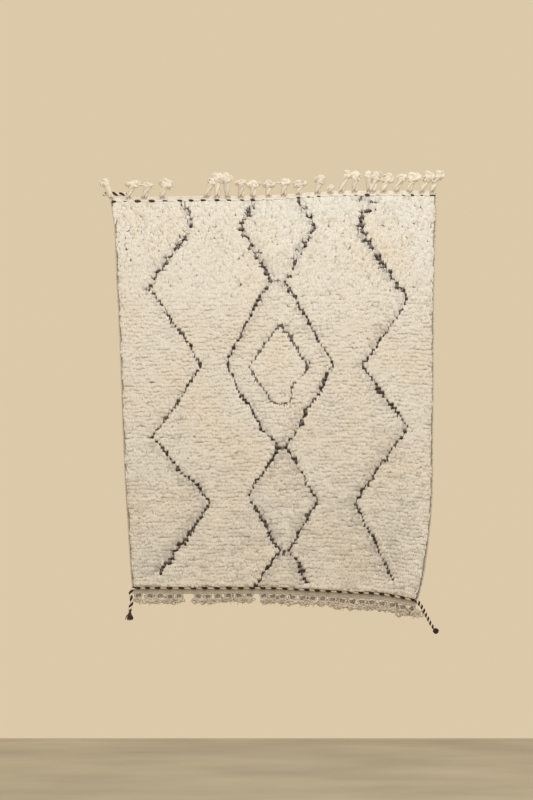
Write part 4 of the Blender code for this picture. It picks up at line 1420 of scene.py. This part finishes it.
def bottom_fringe_groups(seed=95):
    """Two stems to each bunch, its knot, its loops and cut ends, and dark grey loops and pads
    behind the stems as painted shade.
    """
    rng = np.random.default_rng(seed)
    foot_x, aside, drop, width, height = (np.array(v, float) for v in zip(*BOTTOM_BUNCHES))
    depth = (11 + 2.0 * (np.arange(len(foot_x)) % 3)) / 1000
    edge = edge_point(foot_x, 1.0)
    knots = edge + np.stack([aside / 1000, -depth / 2 - 0.0005, -drop / 1000], -1)
    half = np.stack([width / 2000, depth / 2, height / 2000], -1)
    half = half * (1.15, 1.0, 1.1)
    stems = []
    for way in (-1, 1):
        feet = edge + np.array([way * 0.0118, -0.0030, 0.001])
        heads = knots + np.array([way * 0.0070, 0.0, 0.0])
        stems.append(twisted_stems(feet, heads, 0.0018, 0.0021, 5.0, rng, yarns=2, steps=6))
    heads = trefoil_knots(knots, half, np.full(len(knots), 0.0030), rng, steps=30)
    cores = knot_cores(knots, half * (1.0, 0.7, 1.0))
    lower = knots + (0.0, 0.0, -0.0015)
    loops = lace_loops(lower, half * (1.2, 1.0, 1.1), 7, 0.0019, rng, steps=10)
    between = (edge + knots) / 2 + (0.0, 0.004, 0.0)
    shadow_webs = lace_loops(between, half * (0.80, 0.3, 0.9), 4, 0.0016, rng, steps=9)
    shadow_pads = knot_cores(between, np.broadcast_to((0.0145, 0.0016, 0.0105), knots.shape))
    ends = cut_ends(knots, half, 3, 0.002, 0.0015, rng, -1.0)
    groups = [tinted(g, MATTED, rng, 0.08) for g in (*stems, heads, loops, ends, cores)]
    # Painted shade: the webs and pads are dark grey, for the shadow seen through the openings.
    return groups + [tinted(g, HEATHER * (0.70, 0.62, 0.58), rng, 0.10) for g in (shadow_webs, shadow_pads)]


bottom_fringe = add_piece(
    "knotted_fringe_bottom", yarn_mesh("knotted_fringe_bottom", bottom_fringe_groups()),
    warp_yarn, ["bottom_fringe"],
)

# %% [markdown]
# ## Floor and light
# A pale, plain floor ends under the rug, where a wall would stand. The air behind is a warm
# pale tone, and it also fills the shadows. A large soft lamp above and a little to the right
# rakes down the pile, which makes the rows and the grooves beside the lines show. A weaker
# one in front of the rug fills what it leaves dark.


# %% The floor
def floor_material():
    """Pale stone-coloured screed: one noise for clouds, nearly matt."""
    material, tree, shader = new_material("pale_floor", 0.7)
    place = add_node(tree, "ShaderNodeTexCoord")
    stretch = add_node(tree, "ShaderNodeMapping", Scale=(1.0, 2.5, 1.0))
    clouds = add_node(tree, "ShaderNodeTexNoise", Scale=2.2, Detail=6.0)
    tree.links.new(place.outputs["Object"], stretch.inputs["Vector"])
    tree.links.new(stretch.outputs["Vector"], clouds.inputs["Vector"])
    ramp = add_node(tree, "ShaderNodeMix", data_type="RGBA")
    ramp.inputs["A"].default_value = (0.29, 0.26, 0.21, 1.0)
    ramp.inputs["B"].default_value = (0.60, 0.545, 0.435, 1.0)
    tree.links.new(clouds.outputs["Fac"], ramp.inputs["Factor"])
    tree.links.new(ramp.outputs["Result"], shader.inputs["Base Color"])
    return material


FLOOR_LEVEL = -1.765
floor_mesh = bpy.data.meshes.new("floor")
floor_mesh.from_pydata(
    [(-6, -8, FLOOR_LEVEL), (6, -8, FLOOR_LEVEL), (6, 0.0, FLOOR_LEVEL), (-6, 0.0, FLOOR_LEVEL)],
    [], [(0, 1, 2, 3)],
)
floor_mesh.materials.append(floor_material())
floor = bpy.data.objects.new("floor", floor_mesh)
bpy.context.scene.collection.objects.link(floor)

# %% Air and lamps
AIR = (0.715, 0.585, 0.40)  # linear colour of the light all round


def add_lamp(name, place, target, size, power, colour):
    """A square area lamp at place that faces target."""
    data = bpy.data.lights.new(name, "AREA")
    data.energy, data.size, data.color = power, size, colour
    lamp = bpy.data.objects.new(name, data)
    lamp.location = place
    ahead = Vector(target) - Vector(place)
    lamp.rotation_euler = ahead.to_track_quat("-Z", "Y").to_euler()
    bpy.context.scene.collection.objects.link(lamp)
    return lamp


world = bpy.data.worlds.new("air")
world.use_nodes = True
world.node_tree.nodes["Background"].inputs["Color"].default_value = (*AIR, 1.0)
world.node_tree.nodes["Background"].inputs["Strength"].default_value = 1.0
bpy.context.scene.world = world
bpy.context.scene.view_settings.view_transform = "Standard"
add_lamp("soft_lamp", (0.35, -2.2, 1.7), (0.0, 0.0, -0.4), 2.4, 48.0, (0.87, 0.98, 1.0))
add_lamp("fill_lamp", (-0.3, -4.2, 0.2), (0.0, 0.0, -0.6), 3.0, 14.5, (0.87, 0.98, 1.0))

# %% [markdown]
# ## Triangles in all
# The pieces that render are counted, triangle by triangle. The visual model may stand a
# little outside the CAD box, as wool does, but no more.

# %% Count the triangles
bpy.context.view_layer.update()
made = [o for o in bpy.data.objects if o.type == "MESH" and not o.hide_render]
print(sum(triangles(o.data) for o in made), "triangles in all")
